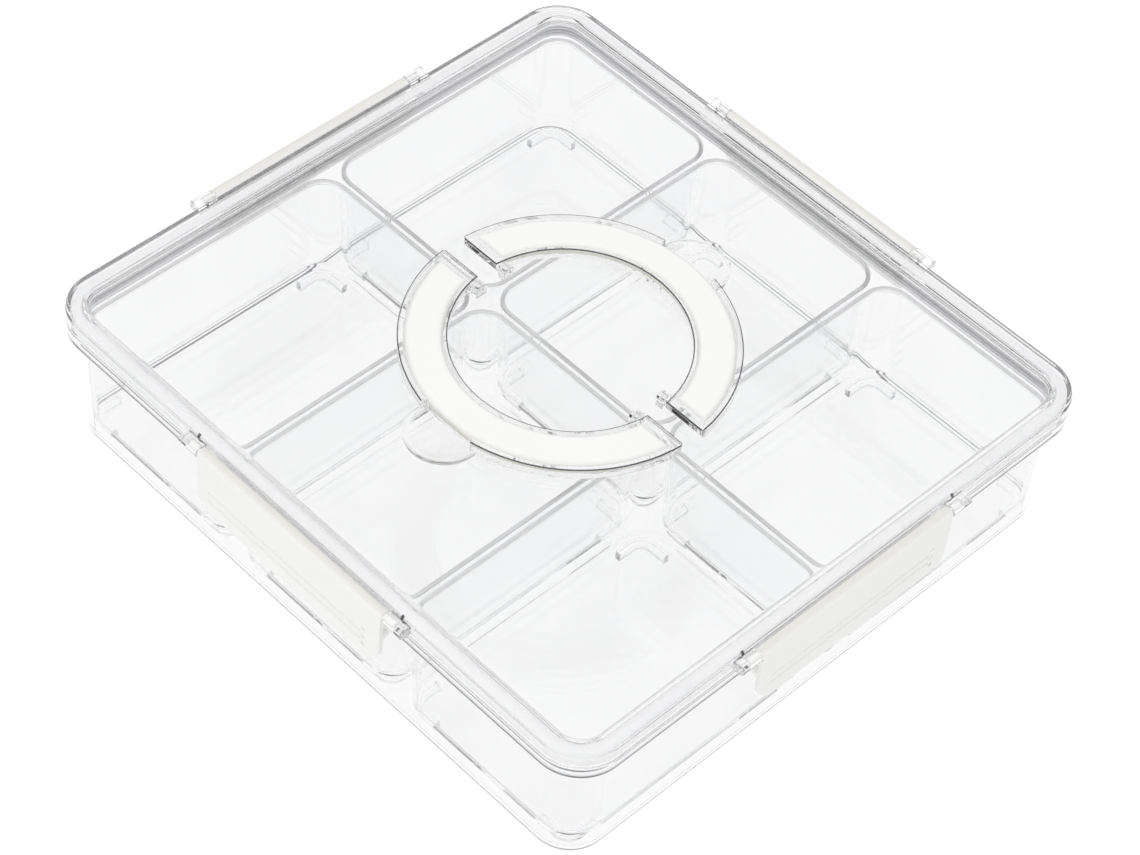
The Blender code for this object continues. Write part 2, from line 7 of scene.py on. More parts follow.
import logging
import math
from collections.abc import Callable, Iterable, Mapping, Sequence
from dataclasses import dataclass, field
from enum import Enum
from functools import cache

import bmesh
import bpy
from mathutils import Matrix, Vector


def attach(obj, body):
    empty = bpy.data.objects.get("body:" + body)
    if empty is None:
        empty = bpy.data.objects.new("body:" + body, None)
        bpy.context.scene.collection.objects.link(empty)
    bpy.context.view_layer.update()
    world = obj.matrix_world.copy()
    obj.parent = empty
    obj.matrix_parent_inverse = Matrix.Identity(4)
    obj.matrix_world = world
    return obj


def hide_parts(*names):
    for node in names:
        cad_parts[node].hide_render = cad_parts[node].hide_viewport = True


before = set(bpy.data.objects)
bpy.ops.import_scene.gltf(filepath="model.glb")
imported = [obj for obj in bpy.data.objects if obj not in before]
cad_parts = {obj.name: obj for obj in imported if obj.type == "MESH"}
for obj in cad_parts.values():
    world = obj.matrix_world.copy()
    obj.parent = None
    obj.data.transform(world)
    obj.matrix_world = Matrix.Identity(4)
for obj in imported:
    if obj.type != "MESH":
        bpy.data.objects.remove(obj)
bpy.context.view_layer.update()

log = logging.getLogger("food_tray")

Point = tuple[float, float]
Place = tuple[float, float, float]
Colour = tuple[float, float, float, float]
Piece = bpy.types.Object
Node = bpy.types.Node
Socket = bpy.types.NodeSocket

LID_LENGTH = 0.325
LID_WIDTH = 0.3025
LID_CORNER = 0.021
OVERRUN = 0.004
MERGE = 1e-6
# Angles in degrees above which an edge is softened, and above which it is shaded sharp.
SOFTEN_ABOVE = 40.0
SHARP_ABOVE = 34.0
# Scales of the noise in the finishes; the scratches have a turn and three scales each.
RIPPLE_SCALE = 38.0
GRAIN_SCALE = 1400.0
CLOUD_SCALE = 16.0
SMEAR_SCALE = 24.0
SCRATCHES = ((0.5, (900.0, 14.0, 900.0)), (-1.1, (14.0, 1100.0, 1100.0)))
# A ray whose count of matt bounces is below this has met none.
FIRST_BOUNCE = 0.5


class Way(Enum):
    """How a tool changes the piece that it meets."""

    UNITE = "UNION"
    CUT = "DIFFERENCE"
    KEEP = "INTERSECT"


class Measure(Enum):
    """What places a painted shade line on a piece."""

    HEIGHT = "height"
    RADIUS = "distance from the upright middle axis"
    ACROSS = "distance from the middle plane across Y"
    ALONG = "distance along a side from its middle"
    OUT = "distance outside the lid's straight edges"


class Side(Enum):
    """The four latched sides, each with its turn about Z and the distance of the lid's edge."""

    FRONT = (0.0, LID_WIDTH / 2)
    RIGHT = (math.pi / 2, LID_LENGTH / 2)
    BACK = (math.pi, LID_WIDTH / 2)
    LEFT = (-math.pi / 2, LID_LENGTH / 2)

    @property
    def label(self) -> str:
        """The side's name in the frame."""
        return self.name.lower()

    @property
    def turn(self) -> float:
        """The turn about Z that brings the front to this side."""
        return self.value[0]

    @property
    def edge(self) -> float:
        """How far the lid's edge stands from the middle."""
        return self.value[1]


@dataclass(frozen=True)
class Ring:
    """One level of a moulded wall: its inset from the edge, its height and its corner radius."""

    inset: float
    height: float
    corner: float


def bend(centre: Point, radius: float, start: float, end: float, steps: int) -> list[Point]:
    """Points along an arc from one angle in degrees to another, both ends included."""
    angles = [math.radians(start + (end - start) * step / steps) for step in range(steps + 1)]
    return [(centre[0] + radius * math.cos(a), centre[1] + radius * math.sin(a)) for a in angles]


def bends(turns: Iterable[tuple[float, float, float, float]], radius: float,
          steps: int) -> list[Point]:
    """Points along several arcs of one radius, each with its centre and its two angles."""
    return [point for u, v, *angles in turns for point in bend((u, v), radius, *angles, steps)]


def levels(points: Iterable[Point], inset: float, corner: float) -> list[Ring]:
    """Rings for points of (inset, height), whose corners share the centre of a known one."""
    return [Ring(at, height, corner + inset - at) for at, height in points]


def grey(level: float) -> Colour:
    """A plain grey of one level."""
    return (level, level, level, 1.0)


def along_x(u: float, v: float, w: float) -> Vector:
    """Place an outline in Y and Z that runs along X."""
    return Vector((w, u, v))


def along_y(u: float, v: float, w: float) -> Vector:
    """Place an outline in X and Z that runs along Y."""
    return Vector((u, w, v))


def along_z(u: float, v: float, w: float) -> Vector:
    """Place an outline in X and Y that runs along Z."""
    return Vector((u, v, w))


class Bench:
    """Where pieces are begun, shaped in edit mode, combined and finished."""

    @staticmethod
    def clear_selection() -> None:
        """Leave nothing selected."""
        bpy.ops.object.select_all(action="DESELECT")

    @staticmethod
    def only(piece: Piece) -> None:
        """Select one piece alone and make it active."""
        Bench.clear_selection()
        piece.select_set(True)
        bpy.context.view_layer.objects.active = piece

    @staticmethod
    def begin(name: str) -> Piece:
        """Begin a piece as an empty mesh at the origin, left in edit mode.

        Args:
            name: Name of the piece.

        Returns:
            The new piece.
        """
        Bench.clear_selection()
        bpy.ops.mesh.primitive_plane_add(size=0.01)
        piece = bpy.context.active_object
        piece.name = name
        piece.data.name = name
        bpy.ops.object.mode_set(mode="EDIT")
        bpy.ops.mesh.select_mode(type="VERT")
        bpy.ops.mesh.delete(type="VERT")
        return piece

    @staticmethod
    def pick(piece: Piece, test: Callable[[bmesh.types.BMVert], bool]) -> None:
        """Select the vertices that pass a test, and no others.

        Args:
            piece: The piece in edit mode.
            test: Tells whether a vertex is wanted.
        """
        shape = bmesh.from_edit_mesh(piece.data)
        for vert in shape.verts:
            vert.select = bool(test(vert))
        shape.select_flush_mode()
        bmesh.update_edit_mesh(piece.data)

    @staticmethod
    def rounded_loop(piece: Piece, half_x: float, half_y: float, ring: Ring,
                     number: int, segments: int) -> None:
        """Add one rounded rectangle of edges and mark its vertices with a number.

        Args:
            piece: The piece in edit mode.
            half_x: Half the length of the outline that the ring is inset from.
            half_y: Half the width of that outline.
            ring: The ring to add.
            number: Number that marks the ring.
            segments: Steps in each rounded corner.
        """
        bpy.ops.mesh.primitive_plane_add(size=1.0, location=(0.0, 0.0, ring.height))
        bpy.ops.transform.resize(value=(2 * (half_x - ring.inset), 2 * (half_y - ring.inset), 1.0),
                                 center_override=(0.0, 0.0, ring.height))
        bpy.ops.mesh.bevel(offset=ring.corner, offset_type="OFFSET", segments=segments,
                           profile=0.5, affect="VERTICES", clamp_overlap=False)
        bpy.ops.mesh.delete(type="ONLY_FACE")
        shape = bmesh.from_edit_mesh(piece.data)
        mark = shape.verts.layers.int["ring"]
        for vert in shape.verts:
            if vert[mark] == 0:
                vert[mark] = number
        bmesh.update_edit_mesh(piece.data)

    @staticmethod
    def pick_rings(piece: Piece, numbers: Sequence[int]) -> None:
        """Select the rings that carry the given numbers."""
        mark = bmesh.from_edit_mesh(piece.data).verts.layers.int["ring"]
        Bench.pick(piece, lambda vert: vert[mark] in numbers)

    @staticmethod
    def wall(name: str, half_x: float, half_y: float, rings: Sequence[Ring], segments: int = 14,
             closed: bool = False) -> Piece:
        """Build a thin-walled rounded box by bridging one ring to the next.

        Args:
            name: Name of the piece.
            half_x: Half the length of the outline that the rings are inset from.
            half_y: Half the width of that outline.
            rings: The wall's section, ring by ring.
            segments: Steps in each rounded corner.
            closed: True where the last ring joins the first, False where both are filled.

        Returns:
            The piece, in object mode.
        """
        piece = Bench.begin(name)
        shape = bmesh.from_edit_mesh(piece.data)
        shape.verts.layers.int.new("ring")
        bmesh.update_edit_mesh(piece.data)
        for number, ring in enumerate(rings, 1):
            Bench.rounded_loop(piece, half_x, half_y, ring, number, segments)
        pairs = [(number, number + 1) for number in range(1, len(rings))]
        if closed:
            pairs.append((len(rings), 1))
        for first, second in pairs:
            level = abs(rings[first - 1].height - rings[second - 1].height) < MERGE
            lift = Vector((0.0, 0.0, OVERRUN if level else 0.0))
            Bench.pick_rings(piece, (second,))
            bpy.ops.transform.translate(value=lift)
            Bench.pick_rings(piece, (first, second))
            bpy.ops.mesh.bridge_edge_loops()
            Bench.pick_rings(piece, (second,))
            bpy.ops.transform.translate(value=-lift)
        for number in () if closed else (1, len(rings)):
            Bench.pick_rings(piece, (number,))
            bpy.ops.mesh.edge_face_add()
        Bench.close(piece)
        piece.data.attributes.remove(piece.data.attributes["ring"])
        return piece

    @staticmethod
    def close(piece: Piece) -> None:
        """Merge doubles, turn every face outwards and leave edit mode."""
        bpy.ops.mesh.select_all(action="SELECT")
        bpy.ops.mesh.remove_doubles(threshold=MERGE)
        bpy.ops.mesh.normals_make_consistent(inside=False)
        bpy.ops.object.mode_set(mode="OBJECT")

    @staticmethod
    def chain(points: Sequence[Vector]) -> None:
        """Draw a chain of edges by pushing one vertex out from point to point.

        Args:
            points: Where the vertices lie, in order.
        """
        bpy.ops.mesh.primitive_plane_add(size=0.0001, location=points[0])
        bpy.ops.mesh.merge(type="CENTER")
        for before, after in zip(points, points[1:]):
            bpy.ops.mesh.extrude_vertices_move(TRANSFORM_OT_translate={"value": after - before})

    @staticmethod
    def prism(name: str, outline: Sequence[Point], place: Callable[[float, float, float], Vector],
              low: float, high: float) -> Piece:
        """Draw an outline, fill it and extrude it.

        Args:
            name: Name of the piece.
            outline: The outline's points in its own plane.
            place: Puts a point of the outline in space at a distance along the piece.
            low: Where the piece starts.
            high: Where it ends.

        Returns:
            The piece, in object mode.
        """
        piece = Bench.begin(name)
        Bench.chain([place(u, v, low) for u, v in outline])
        bpy.ops.mesh.select_all(action="SELECT")
        bpy.ops.mesh.edge_face_add()
        reach = place(0.0, 0.0, high) - place(0.0, 0.0, low)
        bpy.ops.mesh.extrude_region_move(TRANSFORM_OT_translate={"value": reach})
        Bench.close(piece)
        return piece

    @staticmethod
    def turned(name: str, outline: Sequence[Point], start: float, sweep: float, steps: int,
               centre: Point = (0.0, 0.0)) -> Piece:
        """Spin an outline of (radius, height) about an upright axis.

        Args:
            name: Name of the piece.
            outline: The outline's points, from its first round to its last.
            start: Angle in degrees at which the outline is drawn.
            sweep: How many degrees it turns, anticlockwise from above.
            steps: How many steps the turn has.
            centre: Where the axis stands.

        Returns:
            The piece, in object mode.
        """
        piece = Bench.begin(name)
        way = Vector((math.cos(math.radians(start)), math.sin(math.radians(start))))
        points = [Vector((centre[0] + r * way.x, centre[1] + r * way.y, z)) for r, z in outline]
        full = abs(sweep) >= 360.0
        Bench.chain(points if full else [*points, points[0]])
        bpy.ops.mesh.select_all(action="SELECT")
        bpy.ops.mesh.remove_doubles(threshold=MERGE)
        bpy.ops.mesh.spin(steps=steps, angle=math.radians(sweep), center=(*centre, 0.0),
                          axis=(0.0, 0.0, -1.0))
        bpy.ops.mesh.select_all(action="SELECT")
        bpy.ops.mesh.remove_doubles(threshold=MERGE)
        if not full:
            for angle in (start, start + sweep):
                Bench.pick_spoke(piece, angle, centre)
                bpy.ops.mesh.edge_face_add()
        Bench.close(piece)
        return piece

    @staticmethod
    def pick_spoke(piece: Piece, degrees: float, centre: Point) -> None:
        """Select what lies in the upright plane at one angle round a centre."""
        across = Vector((-math.sin(math.radians(degrees)), math.cos(math.radians(degrees))))
        ahead = Vector((math.cos(math.radians(degrees)), math.sin(math.radians(degrees))))
        Bench.pick(piece, lambda vert: abs(across.dot(vert.co.xy - Vector(centre))) < 1e-5
                   and ahead.dot(vert.co.xy - Vector(centre)) > 0.0)

    @staticmethod
    def rod(name: str, start: Vector, end: Vector, radius: float, ease: float,
            sides: int) -> Piece:
        """Make a round rod between two points, with its end edges eased.

        Args:
            name: Name of the piece.
            start: Middle of the first end.
            end: Middle of the last end.
            radius: Radius of the rod.
            ease: Width of the round on the ends' edges.
            sides: How many sides it has.

        Returns:
            The piece, in object mode.
        """
        piece = Bench.begin(name)
        way = end - start
        turn = way.to_track_quat("Z", "Y").to_euler()
        bpy.ops.mesh.primitive_cylinder_add(vertices=sides, radius=radius, depth=way.length,
                                            location=(start + end) / 2, rotation=turn)
        shape = bmesh.from_edit_mesh(piece.data)
        for edge in shape.edges:
            edge.select = any(len(face.verts) > 4 for face in edge.link_faces)
        bmesh.update_edit_mesh(piece.data)
        bpy.ops.mesh.bevel(offset=ease, offset_type="OFFSET", segments=3, affect="EDGES")
        Bench.close(piece)
        return piece

    @staticmethod
    def cross_rod(name: str, place: Point, low: float, high: float, radius: float, ease: float,
                  sides: int) -> Piece:
        """Make a rod along X, at a place in Y and Z."""
        return Bench.rod(name, Vector((low, *place)), Vector((high, *place)), radius, ease, sides)

    @staticmethod
    def combine(piece: Piece, tools: Sequence[Piece], way: Way) -> None:
        """Unite, cut or keep a piece with each tool, and throw the tools away.

        Args:
            piece: The piece that changes.
            tools: The tools, used in turn.
            way: What each tool does.
        """
        for tool in tools:
            Bench.only(piece)
            bpy.ops.object.modifier_add(type="BOOLEAN")
            step = piece.modifiers[-1]
            step.operation = way.value
            step.solver = "EXACT"
            step.object = tool
            bpy.ops.object.modifier_apply(modifier=step.name)
            bpy.data.objects.remove(tool, do_unlink=True)

    @staticmethod
    def soften(piece: Piece, width: float, segments: int = 3) -> None:
        """Round every sharp edge.

        Args:
            piece: The piece that changes.
            width: Width of the round.
            segments: Steps in the round.
        """
        Bench.only(piece)
        bpy.ops.object.modifier_add(type="BEVEL")
        step = piece.modifiers[-1]
        step.width = width
        step.segments = segments
        step.limit_method = "ANGLE"
        step.angle_limit = math.radians(SOFTEN_ABOVE)
        step.miter_outer = "MITER_ARC"
        bpy.ops.object.modifier_apply(modifier=step.name)

    @staticmethod
    def shade(piece: Piece) -> None:
        """Shade a piece smooth between its sharp edges, with its large faces kept flat."""
        Bench.only(piece)
        bpy.ops.object.shade_smooth_by_angle(angle=math.radians(SHARP_ABOVE))
        bpy.ops.object.modifier_add(type="WEIGHTED_NORMAL")
        step = piece.modifiers[-1]
        step.keep_sharp = True
        bpy.ops.object.modifier_apply(modifier=step.name)

    @staticmethod
    def copy(piece: Piece, name: str, move: Matrix) -> Piece:
        """Copy a piece with a mesh of its own, moved in its mesh.

        Args:
            piece: The piece to copy.
            name: Name of the copy.
            move: The move; a mirrored copy keeps its faces pointing out.

        Returns:
            The copy.
        """
        twin = piece.copy()
        twin.data = piece.data.copy()
        twin.name = name
        twin.data.name = name
        twin.data.transform(move)
        if move.determinant() < 0:
            twin.data.flip_normals()
        bpy.context.collection.objects.link(twin)
        return twin

    @staticmethod
    def both_ways(piece: Piece, x: bool = False, y: bool = False) -> list[Piece]:
        """A piece on the +X +Y side with its copies mirrored in X, in Y or in both."""
        signs = [(sx, sy) for sx in ((1, -1) if x else (1,)) for sy in ((1, -1) if y else (1,))]
        return [piece, *(Bench.copy(piece, piece.name, Matrix.Diagonal((sx, sy, 1, 1)))
                         for sx, sy in signs if (sx, sy) != (1, 1))]


class Sheet:
    """A node tree, with short ways to add nodes and join their sockets."""

    def __init__(self, tree: bpy.types.NodeTree) -> None:
        """Start on a tree."""
        self.tree = tree

    def add(self, kind: str, inputs: Mapping[str | int, object] | None = None,
            **settings: object) -> Node:
        """Add a node, set its properties and fill its inputs.

        Args:
            kind: The node's type.
            inputs: Sockets and values for its inputs, by name or number.
            settings: Properties of the node.

        Returns:
            The node.
        """
        node = self.tree.nodes.new(kind)
        for name, value in settings.items():
            setattr(node, name, value)
        self.fill(node, inputs or {})
        return node

    def fill(self, node: Node, inputs: Mapping[str | int, object]) -> None:
        """Fill a node's inputs, each joined to a socket or set to a value.

        Args:
            node: The node.
            inputs: Sockets and values for its inputs, by name or number.
        """
        for key, given in inputs.items():
            if isinstance(given, Socket):
                self.tree.links.new(given, node.inputs[key])
            else:
                node.inputs[key].default_value = given

    def place(self) -> Socket:
        """The piece's own coordinates."""
        return self.add("ShaderNodeTexCoord").outputs["Object"]

    def split(self, vector: Socket) -> tuple[Socket, ...]:
        """The three parts of a vector."""
        return tuple(self.add("ShaderNodeSeparateXYZ", {0: vector}).outputs)

    def ray(self, fact: str) -> Socket:
        """One fact about the ray that is being followed."""
        return self.add("ShaderNodeLightPath").outputs[fact]

    def noise(self, vector: Socket, scale: float, detail: float,
              roughness: float = 0.5) -> Socket:
        """Add a noise texture and return its value."""
        return self.add("ShaderNodeTexNoise", {"Vector": vector, "Scale": scale, "Detail": detail,
                                               "Roughness": roughness}).outputs["Fac"]

    def spread(self, value: Socket, low: float, high: float, to_low: float = 0.0,
               to_high: float = 1.0) -> Socket:
        """Spread part of a value's range over another range, and hold it inside."""
        ends = {"From Min": low, "From Max": high, "To Min": to_low, "To Max": to_high}
        return self.add("ShaderNodeMapRange", {"Value": value, **ends}, clamp=True).outputs["Result"]

    def sum(self, first: Socket, second: Socket | float, operation: str = "ADD") -> Socket:
        """Combine two values by an arithmetic operation."""
        return self.add("ShaderNodeMath", {0: first, 1: second}, operation=operation).outputs[0]

    def blend(self, mask: Socket, low: Socket | Colour, high: Socket | Colour) -> Socket:
        """Blend two colours by a mask."""
        return self.add("ShaderNodeMix", {0: mask, 6: low, 7: high}, data_type="RGBA").outputs[2]

    def layer(self, vector: Socket, measure: Measure, low: float, high: float) -> Socket:
        """A mask of the places that one measure puts between two values.

        Args:
            vector: The piece's own coordinates.
            measure: What is measured.
            low: The smallest value.
            high: The largest value.

        Returns:
            The mask.
        """
        x, y, value = self.split(vector)
        if measure is Measure.RADIUS:
            squares = [self.sum(part, 2.0, "POWER") for part in (x, y)]
            value = self.sum(self.sum(*squares), 0.5, "POWER")
        elif measure is not Measure.HEIGHT:
            x, y = [self.sum(part, 0.0, "ABSOLUTE") for part in (x, y)]
            if measure is Measure.ACROSS:
                value = y
            elif measure is Measure.ALONG:
                value = self.sum(x, y, "MINIMUM")
            else:
                value = self.sum(self.sum(x, LID_LENGTH / 2, "SUBTRACT"),
                                 self.sum(y, LID_WIDTH / 2, "SUBTRACT"), "MAXIMUM")
        bounds = {1: (low + high) / 2, 2: (high - low) / 2}
        return self.add("ShaderNodeMath", {0: value, **bounds}, operation="COMPARE").outputs[0]


def open_group(name: str, numbers: Mapping[str, float],
               outputs: Sequence[str]) -> tuple[Sheet, Node, Node]:
    """Open a shader node group that takes a vector and some numbers and gives numbers.

    Args:
        name: Name of the group.
        numbers: Each number input's name and default value.
        outputs: Each output's name.

    Returns:
        The sheet, the input node and the output node.
    """
    tree = bpy.data.node_groups.new(name, "ShaderNodeTree")
    tree.interface.new_socket(name="Vector", in_out="INPUT", socket_type="NodeSocketVector")
    for label, value in numbers.items():
        socket = tree.interface.new_socket(name=label, in_out="INPUT",
                                           socket_type="NodeSocketFloat")
        socket.default_value = value
    for label in outputs:
        tree.interface.new_socket(name=label, in_out="OUTPUT", socket_type="NodeSocketFloat")
    sheet = Sheet(tree)
    return sheet, sheet.add("NodeGroupInput"), sheet.add("NodeGroupOutput")


@cache
def moulded_skin() -> bpy.types.NodeTree:
    """The skin of a moulded plastic: slow ripple, fine grain and the faint cloud of its flow.

    Returns:
        The node group, made once.
    """
    sheet, given, result = open_group("moulded_skin", {"Ripple": 0.5, "Grain": 0.5},
                                      ("Height", "Cloud"))
    vector = given.outputs["Vector"]
    ripple = sheet.sum(sheet.noise(vector, RIPPLE_SCALE, 1.0), given.outputs["Ripple"], "MULTIPLY")
    grain = sheet.sum(sheet.noise(vector, GRAIN_SCALE, 2.0, 0.6), given.outputs["Grain"],
                      "MULTIPLY")
    cloud = sheet.spread(sheet.noise(vector, CLOUD_SCALE, 3.0, 0.55), 0.35, 0.68)
    sheet.fill(result, {"Height": sheet.sum(ripple, grain), "Cloud": cloud})
    return sheet.tree


@cache
def handling_marks() -> bpy.types.NodeTree:
    """The marks that hands and cloths leave: soft smears and fine crossed scratches.

    Returns:
        The node group, made once.
    """
    sheet, given, result = open_group("handling_marks", {"Amount": 0.5}, ("Smear", "Scratch"))
    vector = given.outputs["Vector"]
    smear = sheet.spread(sheet.noise(vector, SMEAR_SCALE, 4.0, 0.6), 0.55, 0.72)
    lines = None
    for turn, stretch in SCRATCHES:
        mapping = sheet.add("ShaderNodeMapping", {"Vector": vector, "Rotation": (0.0, 0.0, turn),
                                                  "Scale": stretch}, vector_type="POINT")
        line = sheet.spread(sheet.noise(mapping.outputs["Vector"], 1.0, 1.0), 0.70, 0.78)
        lines = line if lines is None else sheet.sum(lines, line, "MAXIMUM")
    sheet.fill(result, {name: sheet.sum(mark, given.outputs["Amount"], "MULTIPLY")
                        for name, mark in (("Smear", smear), ("Scratch", lines))})
    return sheet.tree


@dataclass(frozen=True)
class Finish:
    """What every finish shares: a moulded skin, whose colour drifts between two tones."""

    name: str
    colour: Colour
    cloud: Colour
    ripple: float
    grain: float
    relief: float
    rough: Point
    handling: float = 0.0

    def begin(self) -> tuple[bpy.types.Material, Sheet, Node, Socket, Node]:
        """Open the material with one Principled shader and the skin's relief.

        Returns:
            The material, its sheet, its shader, the piece's coordinates and the skin.
        """
        material = bpy.data.materials.new(self.name)
        material.use_nodes = True
        sheet = Sheet(material.node_tree)
        vector = sheet.place()
        skin = sheet.add("ShaderNodeGroup", {"Vector": vector, "Ripple": self.ripple,
                                             "Grain": self.grain}, node_tree=moulded_skin())
        bump = sheet.add("ShaderNodeBump", {"Strength": 1.0, "Distance": self.relief,
                                            "Height": skin.outputs["Height"]})
        shader = sheet.tree.nodes["Principled BSDF"]
        sheet.fill(shader, {"Normal": bump.outputs["Normal"]})
        return material, sheet, shader, vector, skin

    def wear(self, sheet: Sheet, vector: Socket) -> Socket:
        """The roughness, which the marks of hands and cloths raise."""
        marks = sheet.add("ShaderNodeGroup", {"Vector": vector, "Amount": self.handling},
                          node_tree=handling_marks())
        worn = sheet.sum(marks.outputs["Smear"], marks.outputs["Scratch"], "MAXIMUM")
        return sheet.spread(worn, 0.0, 1.0, *self.rough)


@dataclass(frozen=True)
class ClearPlastic(Finish):
    """Polished clear plastic: glass-like, with a faint cool tint and a moulded skin.

    Soft light goes straight through it, so that matt pieces behind it are lit and not black. It can
    carry painted shade: dark lines of its edge colour on chosen bands.
    """

    colour: Colour = (0.985, 0.986, 0.987, 1.0)
    cloud: Colour = (0.973, 0.975, 0.977, 1.0)
    ripple: float = 0.6
    grain: float = 0.01
    relief: float = 0.00002
    handling: float = 0.5
    rough: Point = (0.0, 0.05)
    # Painted shade: the edge colour is painted on each band listed in edges. These lines stand in
    # for the dark that rounded clear edges refract. A second band can limit them, and the matt value
    # roughens them.
    edge: Colour = (0.8, 0.8, 0.81, 1.0)
    edges: tuple[tuple[Measure, float, float], ...] = ()
    shade_line_place: tuple[Measure, float, float] | None = None
    shade_line_matt: float = 0.0
    ior: float = 1.49

    def material(self) -> bpy.types.Material:
        """Build the material."""
        material, sheet, shader, vector, skin = self.begin()
        colour = sheet.blend(skin.outputs["Cloud"], self.colour, self.cloud)
        rough = self.wear(sheet, vector)
        # Painted shade: each band takes the edge colour and some roughness.
        for measure, low, high in self.edges:
            layer = sheet.layer(vector, measure, low, high)
            if self.shade_line_place is not None:
                layer = sheet.sum(layer, sheet.layer(vector, *self.shade_line_place), "MULTIPLY")
            colour = sheet.blend(layer, colour, self.edge)
            rough = sheet.sum(rough, sheet.sum(layer, self.shade_line_matt, "MULTIPLY"), "MAXIMUM")
        passing = sheet.sum(sheet.ray("Is Shadow Ray"), sheet.ray("Is Diffuse Ray"), "MAXIMUM")
        sheet.fill(shader, {"Base Color": colour, "Roughness": rough, "IOR": self.ior,
                            "Transmission Weight": 1.0,
                            "Alpha": sheet.spread(passing, 0.0, 1.0, 1.0, 0.0)})
        return material


@dataclass(frozen=True)
class IvoryPlastic(Finish):
    """Opaque ivory plastic with a satin skin.

    It carries painted shade: a darker tone that is full at the first of its painted shade levels, in
    height, and gives way to its own tone by the second.
    """

    colour: Colour = (0.883, 0.882, 0.869, 1.0)
    cloud: Colour = (0.871, 0.869, 0.854, 1.0)
    ripple: float = 0.5
    grain: float = 0.10
    relief: float = 0.0002
    handling: float = 0.8
    rough: Point = (0.34, 0.48)
    # Painted shade: the darker tone, standing in for shade that falls at one height of the piece.
    painted_shade: Colour = (0.65, 0.64, 0.595, 1.0)
    painted_shade_levels: Point = field(kw_only=True)

    def material(self) -> bpy.types.Material:
        """Build the material."""
        material, sheet, shader, vector, skin = self.begin()
        colour = sheet.blend(skin.outputs["Cloud"], self.colour, self.cloud)
        # Painted shade mask, full at the first level and gone at the second.
        painted_shade = sheet.spread(sheet.split(vector)[2], *self.painted_shade_levels, 1.0, 0.0)
        sheet.fill(shader, {"Base Color": sheet.blend(painted_shade, colour, self.painted_shade),
                            "Roughness": self.wear(sheet, vector)})
        return material


@dataclass(frozen=True)
class SoftSeal(Finish):
    """Translucent silicone, milky and slightly matt."""

    colour: Colour = (0.985, 0.986, 0.99, 1.0)
    cloud: Colour = (0.965, 0.967, 0.975, 1.0)
    ripple: float = 0.4
    grain: float = 0.2
    relief: float = 0.0001
    rough: Point = (0.22, 0.32)
    ior: float = 1.41
    clearness: float = 0.2

    def material(self) -> bpy.types.Material:
        """Build the material."""
        material, sheet, shader, _, skin = self.begin()
        cloud = skin.outputs["Cloud"]
        sheet.fill(shader, {"Base Color": sheet.blend(cloud, self.colour, self.cloud),
                            "Roughness": sheet.spread(cloud, 0.0, 1.0, *self.rough),
                            "IOR": self.ior, "Transmission Weight": self.clearness})
        return material


def dress(piece: Piece, material: bpy.types.Material, body: str, node: str, slot: str) -> None:
    """Finish a piece: its material and its body, with the imported node that it stands for hidden.

    Args:
        piece: The piece.
        material: Its material.
        body: Body that it rides on.
        node: Node that it stands for.
        slot: The record's material slot; not used.
    """
    piece.data.materials.clear()
    piece.data.materials.append(material)
    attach(piece, body)
    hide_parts(node)
    log.info("%s: %d faces, rides on %s", piece.name, len(piece.data.polygons), body)


@dataclass
class BaseTray:
    """The deep clear outer box with its thick rim bead."""

    height: float = 0.0682
    floor: float = 0.0026
    thickness: float = 0.0023
    draft: float = 0.0014
    bottom_corner: float = 0.0175
    edge_round: float = 0.0045
    floor_round: float = 0.003
    overhang: float = 0.0044
    rim_height: float = 0.006
    rim_round: float = 0.0007
    # Painted shade: bands above the floor's top and above the rim bead's underside, where dark lines
    # are painted.
    floor_shade_line: Point = (0.0013, 0.0020)
    rim_shade_line: Point = (-0.0001, 0.0016)

    @property
    def rim_bottom(self) -> float:
        """Height of the underside of the rim bead."""
        return self.height - self.rim_height

    @property
    def inner_top(self) -> float:
        """Inset of the inner wall at the rim."""
        return self.overhang + self.thickness

    @property
    def bottom_inset(self) -> float:
        """Inset of the outer wall at the bottom."""
        return self.overhang + self.draft

    def section(self) -> list[Ring]:
        """The wall's rings, from the underside over the rim to the floor."""
        edge, fillet, ease = self.edge_round, self.floor_round, self.rim_round
        low, top = self.rim_bottom, self.height
        inner = self.bottom_inset + self.thickness
        outside = bend((self.bottom_inset + edge, edge), edge, 270, 180, 9)
        rim = [*bend((self.overhang - ease, low - ease), ease, 0, 90, 4),
               *bend((ease, low + ease), ease, 270, 180, 5),
               *bend((ease, top - ease), ease, 180, 90, 5),
               *bend((self.inner_top - ease, top - ease), ease, 90, 0, 5)]
        inside = bend((inner + fillet, self.floor + fillet), fillet, 180, 270, 7)
        return [*levels(outside, self.bottom_inset, self.bottom_corner),
                *levels(rim, 0.0, LID_CORNER),
                *levels(inside, self.bottom_inset, self.bottom_corner)]

    def build(self) -> None:
        """Build the tray and dress it."""
        piece = Bench.wall("tray_wall", LID_LENGTH / 2, LID_WIDTH / 2, self.section())
        Bench.shade(piece)
        # Painted shade: a near-black line round the wall just above the floor's height and another
        # under the rim bead. They stand in for the dark that these rounded edges refract.
        lines = tuple((Measure.HEIGHT, level + low, level + high) for level, (low, high) in
                      ((self.floor, self.floor_shade_line), (self.rim_bottom, self.rim_shade_line)))
        clear = ClearPlastic("base_clear", colour=(0.95, 0.95, 0.952, 1.0),
                             cloud=(0.935, 0.935, 0.94, 1.0), edge=(0.05, 0.05, 0.055, 1.0),
                             edges=lines)
        dress(piece, clear.material(), "base", "base_tray", "base_clear")


